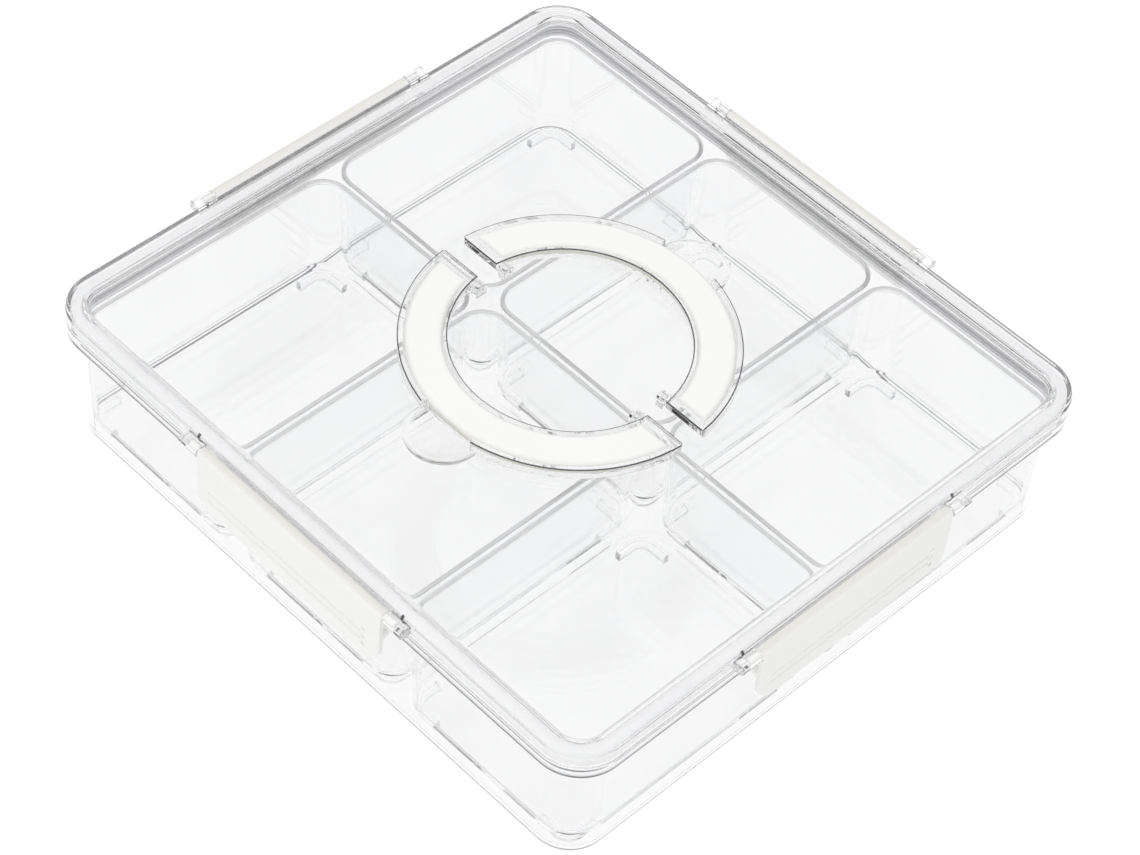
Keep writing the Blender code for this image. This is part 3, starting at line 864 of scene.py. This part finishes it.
@dataclass
class Compartments:
    """Six clear lift-out boxes, each with a slightly thickened rim and four L-shaped feet."""

    base: BaseTray
    clear: float = 0.0014
    gap: float = 0.002
    bottom: float = 0.0029
    top: float = 0.0618
    thickness: float = 0.0015
    floor: float = 0.0018
    overhang: float = 0.0004
    rim_height: float = 0.0026
    rim_round: float = 0.0003
    edge_round: float = 0.0026
    floor_round: float = 0.003
    foot_height: float = 0.005
    foot_width: float = 0.003
    foot_setback: float = 0.0006
    foot_arm: float = 0.0085
    foot_corner: float = 0.0078
    foot_ease: float = 0.0004
    rim_under: float = 0.0003
    # Painted shade: depth of the grey line along the top of each box's rim.
    rim_shade_line: float = 0.0008

    @property
    def inset(self) -> float:
        """How far inside the lid's edge the outermost boxes stand."""
        return self.base.inner_top + self.clear

    @property
    def length(self) -> float:
        """Length of one box along X."""
        return (LID_LENGTH - 2 * self.inset - 2 * self.gap) / 3

    @property
    def width(self) -> float:
        """Width of one box along Y."""
        return (LID_WIDTH - 2 * self.inset - self.gap) / 2

    def section(self) -> list[Ring]:
        """The wall's rings, from the underside over the rim to the floor."""
        edge, fillet, ease, turn = self.edge_round, self.floor_round, self.rim_round, self.rim_under
        draft = self.base.draft
        under, low = self.bottom + self.foot_height, self.top - self.rim_height
        floor_top = under + self.floor
        across = self.overhang + self.thickness
        inner = draft + self.thickness
        outside = bend((draft + edge, under + edge), edge, 270, 180, 6)
        rim = [(self.overhang, low - turn), *bend((turn, low + turn), turn, 270, 180, 3),
               *bend((ease, self.top - ease), ease, 180, 90, 5),
               *bend((across - ease, self.top - ease), ease, 90, 0, 5)]
        inside = bend((inner + fillet, floor_top + fillet), fillet, 180, 270, 6)
        lower = self.base.bottom_corner - self.base.thickness - self.clear
        return [*levels(outside, draft, lower), *levels(rim, 0.0, LID_CORNER - self.inset),
                *levels(inside, draft, lower)]

    def foot(self) -> Piece:
        """One L-shaped foot under the +X +Y corner, with its edges eased."""
        face = self.base.draft + self.edge_round + self.foot_setback
        at_x = self.length / 2 - face - self.foot_corner
        at_y = self.width / 2 - face - self.foot_corner
        outside = bend((at_x, at_y), self.foot_corner, 0, 90, 8)
        inside = bend((at_x, at_y), self.foot_corner - self.foot_width, 90, 0, 8)
        end_x, end_y = at_x - self.foot_arm, at_y - self.foot_arm
        outline = [(outside[0][0], end_y), *outside, (end_x, outside[-1][1]),
                   (end_x, inside[0][1]), *inside, (inside[-1][0], end_y)]
        foot = Bench.prism("foot", outline, along_z, self.bottom,
                           self.bottom + self.foot_height + self.floor / 2)
        Bench.soften(foot, self.foot_ease, 2)
        return foot

    def build(self) -> None:
        """Build one box, copy it to its six places and dress the copies."""
        master = Bench.wall("box", self.length / 2, self.width / 2, self.section(), 10)
        Bench.combine(master, Bench.both_ways(self.foot(), x=True, y=True), Way.UNITE)
        Bench.shade(master)
        # Painted shade: a grey, slightly matt band along each rim's top, standing in for the dark
        # that the rim refracts.
        line = (Measure.HEIGHT, self.top - self.rim_shade_line, self.top + self.gap)
        material = ClearPlastic("compartment_clear", edge=(0.84, 0.84, 0.85, 1.0), edges=(line,),
                                shade_line_matt=0.45).material()
        for row, row_name in enumerate(("front", "back")):
            for column, column_name in enumerate(("left", "middle", "right")):
                move = Matrix.Translation(((column - 1) * (self.length + self.gap),
                                           (row - 0.5) * (self.width + self.gap), 0.0))
                place = f"{row_name}_{column_name}"
                piece = Bench.copy(master, f"box_{place}_wall", move)
                dress(piece, material, f"box_{place}", f"compartment_{place}",
                      "compartment_clear")
        bpy.data.objects.remove(master, do_unlink=True)


@dataclass
class Handle:
    """The folding ring handle in two halves: clear frames with ivory grips."""

    panel_top: float = 0.0745
    touch: float = 0.0003
    outer: float = 0.0732
    width: float = 0.0212
    thickness: float = 0.0054
    split: float = 0.0106
    outer_wall: float = 0.0024
    inner_wall: float = 0.0015
    end_wall: float = 0.0046
    floor: float = 0.0016
    proud: float = 0.0007
    grip_round: float = 0.0030
    frame_round: float = 0.0003
    end_round: float = 0.0006
    end_corner: float = 0.0018
    pin_radius: float = 0.0012
    pin_gap: float = 0.0003
    boss_wall: float = 0.0016
    boss_length: float = 0.0041
    boss_side_gap: float = 0.0007
    boss_blind: float = 0.0012
    cut_depth: float = 0.0034
    cut_width: float = 0.030
    pin_ease: float = 0.0003
    # Painted shade: widths of the dark lines painted on the frame's edges and ends, and how far
    # below its top they reach.
    edge_shade_line: float = 0.0005
    end_shade_line: float = 0.0006
    top_shade_line: float = 0.0004
    # Painted shade: depths below the grip's top where its darker tone is full and where it is gone.
    grip_shade_depths: Point = (0.0034, 0.0002)
    steps: int = 96
    spare_steps: int = 6

    @property
    def inner(self) -> float:
        """Inner radius of the ring."""
        return self.outer - self.width

    @property
    def nose(self) -> float:
        """Radius of the round hinge ends."""
        return self.thickness / 2

    @property
    def hinge_offset(self) -> float:
        """How far the hinge axis stands from the middle plane."""
        return self.split / 2 + self.nose

    @property
    def hinge_height(self) -> float:
        """Height of the hinge axis."""
        return self.panel_top + self.touch + self.nose

    @property
    def low(self) -> float:
        """Height of the ring's underside."""
        return self.hinge_height - self.nose

    @property
    def high(self) -> float:
        """Height of the frame's top."""
        return self.hinge_height + self.nose

    @property
    def channel(self) -> tuple[float, float, float]:
        """Inner radius, outer radius and start of the channel that holds a grip."""
        return (self.inner + self.inner_wall, self.outer - self.outer_wall,
                self.split / 2 + self.end_wall)

    @property
    def boss_radius(self) -> float:
        """Radius of the hinge bosses on the lid."""
        return self.pin_radius + self.pin_gap + self.boss_wall

    @property
    def boss_reach(self) -> Point:
        """Where a boss starts and ends along the hinge axis."""
        high = math.sqrt(self.inner ** 2 - (self.hinge_offset + self.boss_radius) ** 2)
        return high - self.boss_side_gap - self.boss_length, high - self.boss_side_gap

    def finger_cut(self) -> Piece:
        """The block that takes a flat off the ring's outer edge."""
        half, near, far = self.cut_width / 2, self.outer - self.cut_depth, self.outer + OVERRUN
        return Bench.prism("finger_cut", [(-half, near), (half, near), (half, far), (-half, far)],
                           along_z, self.low - OVERRUN, self.high + OVERRUN)

    def corner_cut(self, outer: float, near: float, radius: float) -> Piece:
        """The block that rounds a half ring's outer corner, as seen from above.

        Args:
            outer: Outer radius of the half ring.
            near: How far its flat end stands from the middle plane.
            radius: Radius of the corner.

        Returns:
            The block at the +X end.
        """
        place = math.sqrt((outer - radius) ** 2 - (near + radius) ** 2)
        angle = math.degrees(math.atan2(near + radius, place))
        arc = bend((place, near + radius), radius, -90, angle, 8)
        out = math.radians(angle)
        beyond = (arc[-1][0] + OVERRUN * math.cos(out), arc[-1][1] + OVERRUN * math.sin(out))
        outline = [(place, near - OVERRUN), *arc, beyond, (outer + 2 * OVERRUN, near - OVERRUN)]
        return Bench.prism("corner_cut", outline, along_z, self.low - OVERRUN,
                           self.high + OVERRUN)

    def half_frame(self) -> Piece:
        """The clear frame of the back half: a channel with round hinge ends and two pins."""
        ease = self.frame_round
        inside, outside, start = self.channel
        near, far, low, high = (self.inner + ease, self.outer - ease, self.low + ease,
                                self.high - ease)
        block = bends(((near, low, 270, 180), (near, high, 180, 90), (far, high, 90, 0),
                       (far, low, 0, -90)), ease, 3)
        spare = 180 / self.steps * self.spare_steps
        piece = Bench.turned("half_frame", block, -spare, 180 + 2 * spare,
                             self.steps + 2 * self.spare_steps)
        reach = self.outer + OVERRUN
        soft = self.end_round
        slab = [*bend((self.hinge_offset, self.hinge_height), self.nose, 270, 180, 10),
                *bend((self.split / 2 + soft, self.high - soft), soft, 180, 90, 4),
                (reach, self.high), (reach, self.low)]
        Bench.combine(piece, [Bench.prism("slab", slab, along_x, -reach, reach)], Way.KEEP)
        top = self.high + OVERRUN
        floor = self.low + self.floor
        groove = [(inside, floor), (outside, floor), (outside, top), (inside, top)]
        channel = Bench.turned("channel", groove, 0.0, 180.0, self.steps)
        beyond = [(-reach, start), (reach, start), (reach, reach), (-reach, reach)]
        Bench.combine(channel, [Bench.prism("beyond", beyond, along_z, self.low, top + OVERRUN)],
                      Way.KEEP)
        Bench.combine(piece, [channel], Way.CUT)
        pin = Bench.cross_rod("pin", (self.hinge_offset, self.hinge_height),
                              self.boss_reach[0] + self.boss_blind, inside, self.pin_radius,
                              self.pin_ease, 24)
        Bench.combine(piece, Bench.both_ways(pin, x=True), Way.UNITE)
        corner = self.corner_cut(self.outer, self.split / 2, self.end_corner)
        Bench.combine(piece, [self.finger_cut(), *Bench.both_ways(corner, x=True)], Way.CUT)
        return piece

    def half_grip(self) -> Piece:
        """The soft-edged ivory insert of the back half."""
        inside, outside, start = self.channel
        inner, outer = inside + self.touch, outside - self.touch
        bottom, top = self.low + self.floor + self.touch, self.high + self.proud
        soft = self.grip_round
        outline = [(inner, bottom), (outer, bottom),
                   *bend((outer - soft, top - soft), soft, 0, 90, 8),
                   *bend((inner + soft, top - soft), soft, 90, 180, 8)]
        piece = Bench.turned("half_grip", outline, 0.0, 180.0, self.steps)
        near, reach = start + self.touch, self.outer + OVERRUN
        block = [(near, bottom - OVERRUN), (reach, bottom - OVERRUN), (reach, top + OVERRUN),
                 (near + soft, top + OVERRUN), *bend((near + soft, top - soft), soft, 90, 180, 8)]
        Bench.combine(piece, [Bench.prism("end", block, along_x, -reach, reach)], Way.KEEP)
        corner = self.corner_cut(outer, near, self.end_corner)
        Bench.combine(piece, [self.finger_cut(), *Bench.both_ways(corner, x=True)], Way.CUT)
        return piece

    def build(self) -> None:
        """Build the back half, turn a copy to the front and dress both."""
        near = self.split / 2
        # Painted shade: dark lines around the frame's outer and inner edges and across its ends,
        # kept near its top. They stand in for the dark that the clear frame refracts there.
        lines = ((Measure.RADIUS, self.outer - self.edge_shade_line, self.outer + self.touch),
                 (Measure.RADIUS, self.inner - self.touch, self.inner + self.edge_shade_line),
                 (Measure.ACROSS, near - self.touch, near + self.end_shade_line))
        clear = ClearPlastic("handle_clear", ior=1.42, edge=(0.015, 0.015, 0.017, 1.0), edges=lines,
                             shade_line_place=(Measure.HEIGHT, self.high - self.top_shade_line, 1.0)).material()
        # Painted shade: the grip's colour darkens towards its foot, and its own tone returns just
        # under its top.
        foot, fade = (self.high + self.proud - depth for depth in self.grip_shade_depths)
        ivory = IvoryPlastic("grip_ivory", painted_shade_levels=(foot, fade)).material()
        for master, stem, node, material, slot in (
                (self.half_frame(), "ring_frame", "handle_frame", clear, "handle_clear"),
                (self.half_grip(), "ring_grip", "handle_grip", ivory, "grip_ivory")):
            Bench.shade(master)
            for side, turn in (("back", 0.0), ("front", math.pi)):
                piece = Bench.copy(master, f"{stem}_{side}", Matrix.Rotation(turn, 4, "Z"))
                dress(piece, material, f"ring_{side}", f"{node}_{side}", slot)
            bpy.data.objects.remove(master, do_unlink=True)


@dataclass
class Latch:
    """An ivory side latch: a plate under a round barrel, with a finger lip and stub pins."""

    length: float = 0.1118
    drop: float = 0.0276
    plate: float = 0.0023
    corner: float = 0.007
    barrel: float = 0.0027
    barrel_gap: float = 0.0007
    top_drop: float = 0.0007
    border_top: float = 0.077
    lip_height: float = 0.0044
    lip_flare: float = 0.0012
    pin_radius: float = 0.0014
    pin_length: float = 0.0062
    rib_height: float = 0.0028
    rib_drop: float = 0.0006
    rib_clear: float = 0.0004
    rim_bottom: float = 0.0622
    pin_gap: float = 0.0003
    ear_length: float = 0.011
    ear_gap: float = 0.0005
    ear_wall: float = 0.0012
    ear_blind: float = 0.0012
    edge_ease: float = 0.0005
    line_heights: tuple[float, float] = (-0.0172, -0.0218)
    pin_root: float = 0.002
    pin_ease: float = 0.0003
    groove_ease: float = 0.0002
    # Painted shade: depth below the barrel's crown over which its darker tone fades out.
    crown_shade_fade: float = 0.0011
    line_radius: float = 0.0008
    line_reach: tuple[float, float] = (-0.049, 0.045)
    dot_place: float = 0.0465
    dot_heights: tuple[float, float, float] = (-0.0146, -0.0194, -0.0240)
    dot_radius: float = 0.0011
    dot_depth: float = 0.0006
    dot_over: float = 0.0012

    @property
    def axis_out(self) -> float:
        """How far the hinge axis stands outside the lid's edge."""
        return self.barrel + self.barrel_gap

    @property
    def axis_height(self) -> float:
        """Height of the hinge axis."""
        return self.border_top - self.top_drop - self.barrel

    @property
    def ear_start(self) -> float:
        """Where an ear starts along the axis."""
        return self.length / 2 + self.ear_gap

    @property
    def ear_radius(self) -> float:
        """Radius of an ear round the axis."""
        return self.pin_radius + self.pin_gap + self.ear_wall

    def outline(self) -> list[Point]:
        """The latch's side view about its axis, outwards counted as positive."""
        inside = self.barrel - self.plate
        lip = self.lip_height - self.drop
        rib_top = self.rim_bottom - self.rib_drop - self.axis_height
        rib_tip = self.rib_clear - self.axis_out
        back = 360 - math.degrees(math.acos(inside / self.barrel))
        flare = [(inside + self.lip_flare * share ** 2, lip + (-self.drop - lip) * share)
                 for share in (0.25, 0.5, 0.75, 1.0)]
        return [*bend((0.0, 0.0), self.barrel, 0, back, 28),
                (inside, rib_top), (rib_tip, rib_top), (rib_tip, rib_top - self.rib_height / 2),
                (inside, rib_top - self.rib_height), (inside, lip), *flare,
                *((u + self.plate, v) for u, v in reversed(flare)), (self.barrel, lip)]

    def master(self) -> Piece:
        """Build one latch for the front, with its axis through the origin."""
        half, corner, drop = self.length / 2, self.corner, self.drop
        outline = [(-u, v) for u, v in self.outline()]
        piece = Bench.prism("latch", outline, along_x, -half, half)
        top = self.barrel + OVERRUN
        face = [(half, top), (half, corner - drop),
                *bend((half - corner, corner - drop), corner, 0, -90, 12)[1:],
                *bend((corner - half, corner - drop), corner, -90, -180, 12), (-half, top)]
        reach = self.axis_out + self.lip_flare + OVERRUN
        Bench.combine(piece, [Bench.prism("face", face, along_y, -reach, reach)], Way.KEEP)
        Bench.soften(piece, self.edge_ease)
        pin = Bench.cross_rod("pin", (0.0, 0.0), half - self.pin_root, half + self.pin_length,
                              self.pin_radius, self.pin_ease, 24)
        Bench.combine(piece, Bench.both_ways(pin, x=True), Way.UNITE)
        skin = -self.barrel
        grooves = [Bench.cross_rod("line", (skin, height), *self.line_reach, self.line_radius,
                                   self.groove_ease, 16) for height in self.line_heights]
        grooves += [Bench.rod("dot", Vector((self.dot_place, skin + self.dot_depth, height)),
                              Vector((self.dot_place, skin - self.dot_over, height)),
                              self.dot_radius, self.groove_ease, 24) for height in self.dot_heights]
        Bench.combine(piece, grooves, Way.CUT)
        return piece

    def build(self) -> None:
        """Build one latch, turn a copy to each side and dress the copies."""
        master = self.master()
        Bench.shade(master)
        # Painted shade: the barrel's crown is darker and fades to the latch's own tone just below
        # it, standing in for the shade in its gap against the lid's border.
        crown = self.axis_height + self.barrel
        material = IvoryPlastic("latch_ivory", painted_shade=(0.74, 0.73, 0.69, 1.0),
                                painted_shade_levels=(crown, crown - self.crown_shade_fade)).material()
        for side in Side:
            axis = Matrix.Translation((0.0, -side.edge - self.axis_out, self.axis_height))
            piece = Bench.copy(master, f"side_latch_{side.label}",
                               Matrix.Rotation(side.turn, 4, "Z") @ axis)
            name = f"latch_{side.label}"
            dress(piece, material, name, name, "latch_ivory")
        bpy.data.objects.remove(master, do_unlink=True)


@dataclass
class Lid:
    """The clear lid with its border, skirt, plug wall, dimples, latch ears and handle bosses."""

    handle: Handle
    latch: Latch
    skirt_bottom: float = 0.0685
    top: float = 0.077
    skirt_wall: float = 0.0023
    skirt_round: float = 0.0022
    panel: float = 0.0022
    roof: float = 0.0031
    plug_inset: float = 0.0073
    plug_wall: float = 0.0019
    plug_bottom: float = 0.064
    dimple_radius: float = 0.0165
    dimple_depth: float = 0.005
    dimple_tuck: float = 0.0009
    dimple_wall: float = 0.0013
    dimple_lip: float = 0.0006
    wall_ease: float = 0.0004
    ear_ease: float = 0.0005
    boss_ease: float = 0.0004
    hole_ease: float = 0.0002
    rise: tuple[Point, ...] = ((0.0105, 0.0), (0.0101, 0.00004), (0.0097, 0.00022),
                               (0.00938, 0.0006), (0.00912, 0.00112), (0.00885, 0.00165),
                               (0.0085, 0.0021), (0.00805, 0.0024), (0.0075, 0.0025))
    lip_curve: tuple[Point, ...] = ((0.15, 0.62), (0.45, 0.22), (1.0, 0.0))
    # Painted shade: half-length, inward reach and outward reach of the dark ticks painted on the
    # border beside each latch ear.
    shade_tick: float = 0.0007
    shade_tick_reach: float = 0.0011
    shade_tick_out: float = 0.0004

    def section(self) -> list[Ring]:
        """The wall's rings, from the panel over the border and skirt to the underside."""
        top, panel = self.top, self.handle.panel_top
        roof = top - self.roof
        inner = self.plug_inset + self.plug_wall
        ease, skirt, plug = self.wall_ease, self.skirt_bottom, self.plug_bottom
        turns = ((ease, skirt + ease, 180, 270), (self.skirt_wall - ease, skirt + ease, 270, 360),
                 (self.skirt_wall + ease, roof - ease, 180, 90),
                 (self.plug_inset - ease, roof - ease, 90, 0),
                 (self.plug_inset + ease, plug + ease, 180, 270),
                 (inner - ease, plug + ease, 270, 360),
                 (inner + ease, panel - self.panel - ease, 180, 90))
        points = [*((inset, panel + height) for inset, height in self.rise),
                  *bend((self.skirt_round, top - self.skirt_round), self.skirt_round, 90, 180, 8),
                  *bends(turns, ease, 3)]
        return levels(points, 0.0, LID_CORNER)

    def bowl(self, name: str, radius: float, rim: float, top: float, lip: float) -> Piece:
        """Turn one bowl, part of a ball below and flat above.

        Args:
            name: Name of the piece.
            radius: Radius at the rim.
            rim: Height of the rim.
            top: Height of the flat top.
            lip: How far the rim flares out, rounded.

        Returns:
            The bowl at the back dimple's place.
        """
        depth = self.dimple_depth
        ball = (radius ** 2 + depth ** 2) / (2 * depth)
        middle = rim - depth + ball
        half = math.degrees(math.asin(radius / ball))
        outline = bend((0.0, middle), ball, -90, -90 + half, 18)
        if lip:
            outline[-1:] = [(radius + lip * out, rim - lip * down)
                            for out, down in self.lip_curve]
        outline += [(outline[-1][0], top), (0.0, top)]
        place = self.handle.outer - self.dimple_tuck
        return Bench.turned(name, outline, 0.0, 360.0, 96, (0.0, place))

    def ear(self) -> Piece:
        """One clear ear for a latch pin at the front, on the +X side."""
        latch = self.latch
        root = self.skirt_wall / 2
        outline = [*bend((-latch.axis_out, latch.axis_height), latch.ear_radius, 90, 270, 20),
                   (root, latch.axis_height - latch.ear_radius), (root, self.top - self.skirt_round)]
        ear = Bench.prism("ear", outline, along_x, latch.ear_start,
                          latch.ear_start + latch.ear_length)
        Bench.soften(ear, self.ear_ease)
        return ear

    def ear_hole(self) -> Piece:
        """The pin hole of that ear."""
        latch = self.latch
        return Bench.cross_rod("hole", (-latch.axis_out, latch.axis_height),
                               latch.ear_start - OVERRUN,
                               latch.length / 2 + latch.pin_length + latch.ear_blind,
                               latch.pin_radius + latch.pin_gap, self.hole_ease, 28)

    def boss(self) -> Piece:
        """One hinge boss of the handle, on the +X +Y side."""
        handle = self.handle
        root = handle.panel_top - self.panel / 2
        at, radius = handle.hinge_offset, handle.boss_radius
        outline = [(at + radius, root), *bend((at, handle.hinge_height), radius, 0, 180, 20),
                   (at - radius, root)]
        boss = Bench.prism("boss", outline, along_x, *handle.boss_reach)
        Bench.soften(boss, self.boss_ease)
        return boss

    def boss_hole(self) -> Piece:
        """The pin hole of that boss."""
        handle = self.handle
        low, high = handle.boss_reach
        return Bench.cross_rod("hole", (handle.hinge_offset, handle.hinge_height),
                               low + handle.boss_blind - handle.pin_gap, high + OVERRUN,
                               handle.pin_radius + handle.pin_gap, self.hole_ease, 24)

    def at_sides(self, tool: Piece) -> list[Piece]:
        """Copies of a front tool on both ends of all four sides; the tool itself is used up."""
        made = []
        for half in Bench.both_ways(tool, x=True):
            for side in Side:
                move = Matrix.Rotation(side.turn, 4, "Z") @ Matrix.Translation((0, -side.edge, 0))
                made.append(Bench.copy(half, "side_tool", move))
            bpy.data.objects.remove(half, do_unlink=True)
        return made

    def build(self) -> None:
        """Build the lid in one piece and dress it."""
        piece = Bench.wall("lid_shell", LID_LENGTH / 2, LID_WIDTH / 2, self.section())
        panel = self.handle.panel_top
        under = panel - self.panel
        bulge = self.bowl("bulge", self.dimple_radius + self.dimple_wall, under,
                          under + self.panel / 2, 0.0)
        hollow = self.bowl("hollow", self.dimple_radius, panel, self.top + OVERRUN,
                           self.dimple_lip)
        Bench.combine(piece, Bench.both_ways(bulge, y=True), Way.UNITE)
        Bench.combine(piece, Bench.both_ways(hollow, y=True), Way.CUT)
        Bench.combine(piece, self.at_sides(self.ear()), Way.UNITE)
        Bench.combine(piece, Bench.both_ways(self.boss(), x=True, y=True), Way.UNITE)
        Bench.combine(piece, self.at_sides(self.ear_hole()), Way.CUT)
        Bench.combine(piece, Bench.both_ways(self.boss_hole(), x=True, y=True), Way.CUT)
        Bench.shade(piece)
        # Painted shade: a dark tick on the border's edge at the middle of each latch ear, standing
        # in for the dark that refraction through the ear shows there.
        middle = self.latch.ear_start + self.latch.ear_length / 2
        finish = ClearPlastic("lid_clear", edge=(0.02, 0.02, 0.023, 1.0),
                              edges=((Measure.ALONG, middle - self.shade_tick, middle + self.shade_tick),),
                              shade_line_place=(Measure.OUT, -self.shade_tick_reach, self.shade_tick_out))
        dress(piece, finish.material(), "lid", "lid", "lid_clear")


@dataclass
class LidSeal:
    """The soft seal in the lid's channel."""

    outer: float = 0.0026
    inner: float = 0.007
    low: float = 0.0685
    high: float = 0.0736
    ease: float = 0.0009

    def build(self) -> None:
        """Build the seal and dress it."""
        ease = self.ease
        outer, inner, low, high = (self.outer + ease, self.inner - ease, self.low + ease,
                                   self.high - ease)
        points = bends(((outer, low, 180, 270), (inner, low, 270, 360), (inner, high, 0, 90),
                        (outer, high, 90, 180)), ease, 4)
        piece = Bench.wall("seal_ring", LID_LENGTH / 2, LID_WIDTH / 2,
                           levels(points, 0.0, LID_CORNER), closed=True)
        Bench.shade(piece)
        dress(piece, SoftSeal("seal_soft").material(), "lid", "lid_seal", "seal")


@dataclass
class Studio:
    """The floor, the soft lights, the surroundings and the camera."""

    lens: float = 107.8
    sensor: float = 36.0
    place: Place = (0.6519, -0.7281, 1.1336)
    right: Place = (0.69148, 0.71911, 0.06880)
    down: Place = (0.57373, -0.48882, -0.65719)
    forward: Place = (-0.43896, 0.49390, -0.75058)
    floor_size: float = 8.0
    stops: tuple[Point, ...] = ((0.0, 0.02), (0.075, 0.07), (0.18, 0.66), (0.32, 0.94), (1.0, 1.0))
    aim: Place = (0.0, 0.0, 0.05)
    floor_grey: float = 0.86
    shadow_grey: float = 0.22
    camera_glow: float = 0.86
    glow: Point = (0.82, 0.2)
    glow_reach: Point = (0.45, 1.2)
    soft_levels: Point = (0.7, 1.1)
    soft_height: float = 0.5
    strength: float = 0.9
    lamps: tuple[tuple[str, Place, float, float], ...] = (
        ("soft_top", (-0.45, 0.55, 1.5), 1.2, 2.0), ("soft_front", (0.55, -1.25, 1.0), 0.9, 3.8))
    bounces: int = 64
    clear_bounces: int = 48

    def camera(self) -> None:
        """Set up the camera at the photograph's angle."""
        data = bpy.data.cameras.new("camera")
        data.sensor_fit = "HORIZONTAL"
        data.sensor_width = self.sensor
        data.lens = self.lens
        data.clip_start = 0.01
        item = bpy.data.objects.new("camera", data)
        bpy.context.scene.collection.objects.link(item)
        axes = Matrix((Vector(self.right), -Vector(self.down), -Vector(self.forward)))
        matrix = axes.transposed().to_4x4()
        matrix.translation = Vector(self.place)
        item.matrix_world = matrix
        bpy.context.scene.camera = item

    def floor(self) -> None:
        """Lay the pale floor, which the camera sees as white with the object's soft shadow."""
        Bench.clear_selection()
        bpy.ops.mesh.primitive_plane_add(size=self.floor_size)
        floor = bpy.context.active_object
        floor.name = "floor"
        material = bpy.data.materials.new("floor_white")
        material.use_nodes = True
        sheet = Sheet(material.node_tree)
        sheet.tree.nodes.clear()
        room = sheet.add("ShaderNodeBsdfDiffuse", {"Color": grey(self.floor_grey)})
        shadow = sheet.add("ShaderNodeBsdfDiffuse", {"Color": grey(self.shadow_grey)})
        spot = sheet.add("ShaderNodeVectorMath", {0: sheet.place()}, operation="LENGTH")
        fade = sheet.spread(spot.outputs["Value"], *self.glow_reach, *self.glow)
        ahead = sheet.sum(sheet.ray("Is Camera Ray"), self.camera_glow, "MULTIPLY")
        glow = sheet.add("ShaderNodeEmission", {"Color": grey(1.0),
                                                "Strength": sheet.sum(fade, ahead, "MAXIMUM")})
        both = sheet.add("ShaderNodeAddShader", {0: glow.outputs[0], 1: shadow.outputs[0]})
        mix = sheet.add("ShaderNodeMixShader", {0: self.seen(sheet), 1: room.outputs[0],
                                                2: both.outputs[0]})
        sheet.add("ShaderNodeOutputMaterial", {"Surface": mix.outputs[0]})
        floor.data.materials.append(material)

    @staticmethod
    def seen(sheet: Sheet) -> Socket:
        """A mask of the rays that look at a surface and have met no matt surface before it."""
        looks = sheet.sum(sheet.ray("Is Camera Ray"), sheet.ray("Is Glossy Ray"), "MAXIMUM")
        looks = sheet.sum(looks, sheet.ray("Is Transmission Ray"), "MAXIMUM")
        first = sheet.sum(sheet.ray("Diffuse Depth"), FIRST_BOUNCE, "LESS_THAN")
        return sheet.sum(looks, first, "MULTIPLY")

    def surroundings(self) -> None:
        """Light the object from a pale studio whose walls fall off near the ground."""
        world = bpy.data.worlds.new("studio")
        bpy.context.scene.world = world
        world.use_nodes = True
        sheet = Sheet(world.node_tree)
        sheet.tree.nodes.clear()
        height = sheet.split(sheet.add("ShaderNodeTexCoord").outputs["Generated"])[2]
        ramp = sheet.add("ShaderNodeValToRGB", {"Fac": height})
        elements = ramp.color_ramp.elements
        elements[0].position, elements[1].position = self.stops[0][0], self.stops[-1][0]
        for position, _ in self.stops[1:-1]:
            elements.new(position)
        for element, (_, level) in zip(elements, self.stops):
            element.color = (level, level, level * 1.01, 1.0)
        later = sheet.sum(sheet.ray("Diffuse Depth"), FIRST_BOUNCE, "GREATER_THAN")
        soft = sheet.blend(sheet.spread(height, 0.0, self.soft_height),
                           *(grey(level) for level in self.soft_levels))
        light = sheet.blend(later, ramp.outputs["Color"], soft)
        room = sheet.add("ShaderNodeBackground", {"Color": light, "Strength": self.strength})
        white = sheet.add("ShaderNodeBackground", {"Color": grey(1.0)})
        mix = sheet.add("ShaderNodeMixShader", {0: sheet.ray("Is Camera Ray"), 1: room.outputs[0],
                                                2: white.outputs[0]})
        sheet.add("ShaderNodeOutputWorld", {"Surface": mix.outputs[0]})

    def lamp(self, name: str, place: Place, size: float, power: float) -> None:
        """Hang one square soft light that looks at the middle of the object.

        Args:
            name: Name of the light.
            place: Where it hangs.
            size: Its side.
            power: Its power in watts.
        """
        data = bpy.data.lights.new(name, "AREA")
        data.shape = "SQUARE"
        data.size = size
        data.energy = power
        item = bpy.data.objects.new(name, data)
        bpy.context.scene.collection.objects.link(item)
        item.visible_glossy = False
        item.visible_transmission = False
        item.location = place
        look = Vector(self.aim) - Vector(place)
        item.rotation_euler = look.to_track_quat("-Z", "Y").to_euler()

    def build(self) -> None:
        """Set up the whole studio."""
        self.floor()
        self.surroundings()
        for lamp in self.lamps:
            self.lamp(*lamp)
        self.camera()
        bpy.context.scene.view_settings.view_transform = "Standard"
        cycles = bpy.context.scene.cycles
        cycles.max_bounces = cycles.transmission_bounces = cycles.glossy_bounces = self.bounces
        cycles.transparent_max_bounces = self.clear_bounces


def main() -> None:
    """Build the tray from its base up, then its studio."""
    base = BaseTray()
    handle = Handle()
    latch = Latch()
    for part in (base, Compartments(base), Lid(handle, latch), LidSeal(), handle, latch, Studio()):
        part.build()
        log.info("built %s", type(part).__name__)


if __name__ == "__main__":
    logging.basicConfig(level=logging.INFO, format="%(message)s")
    main()
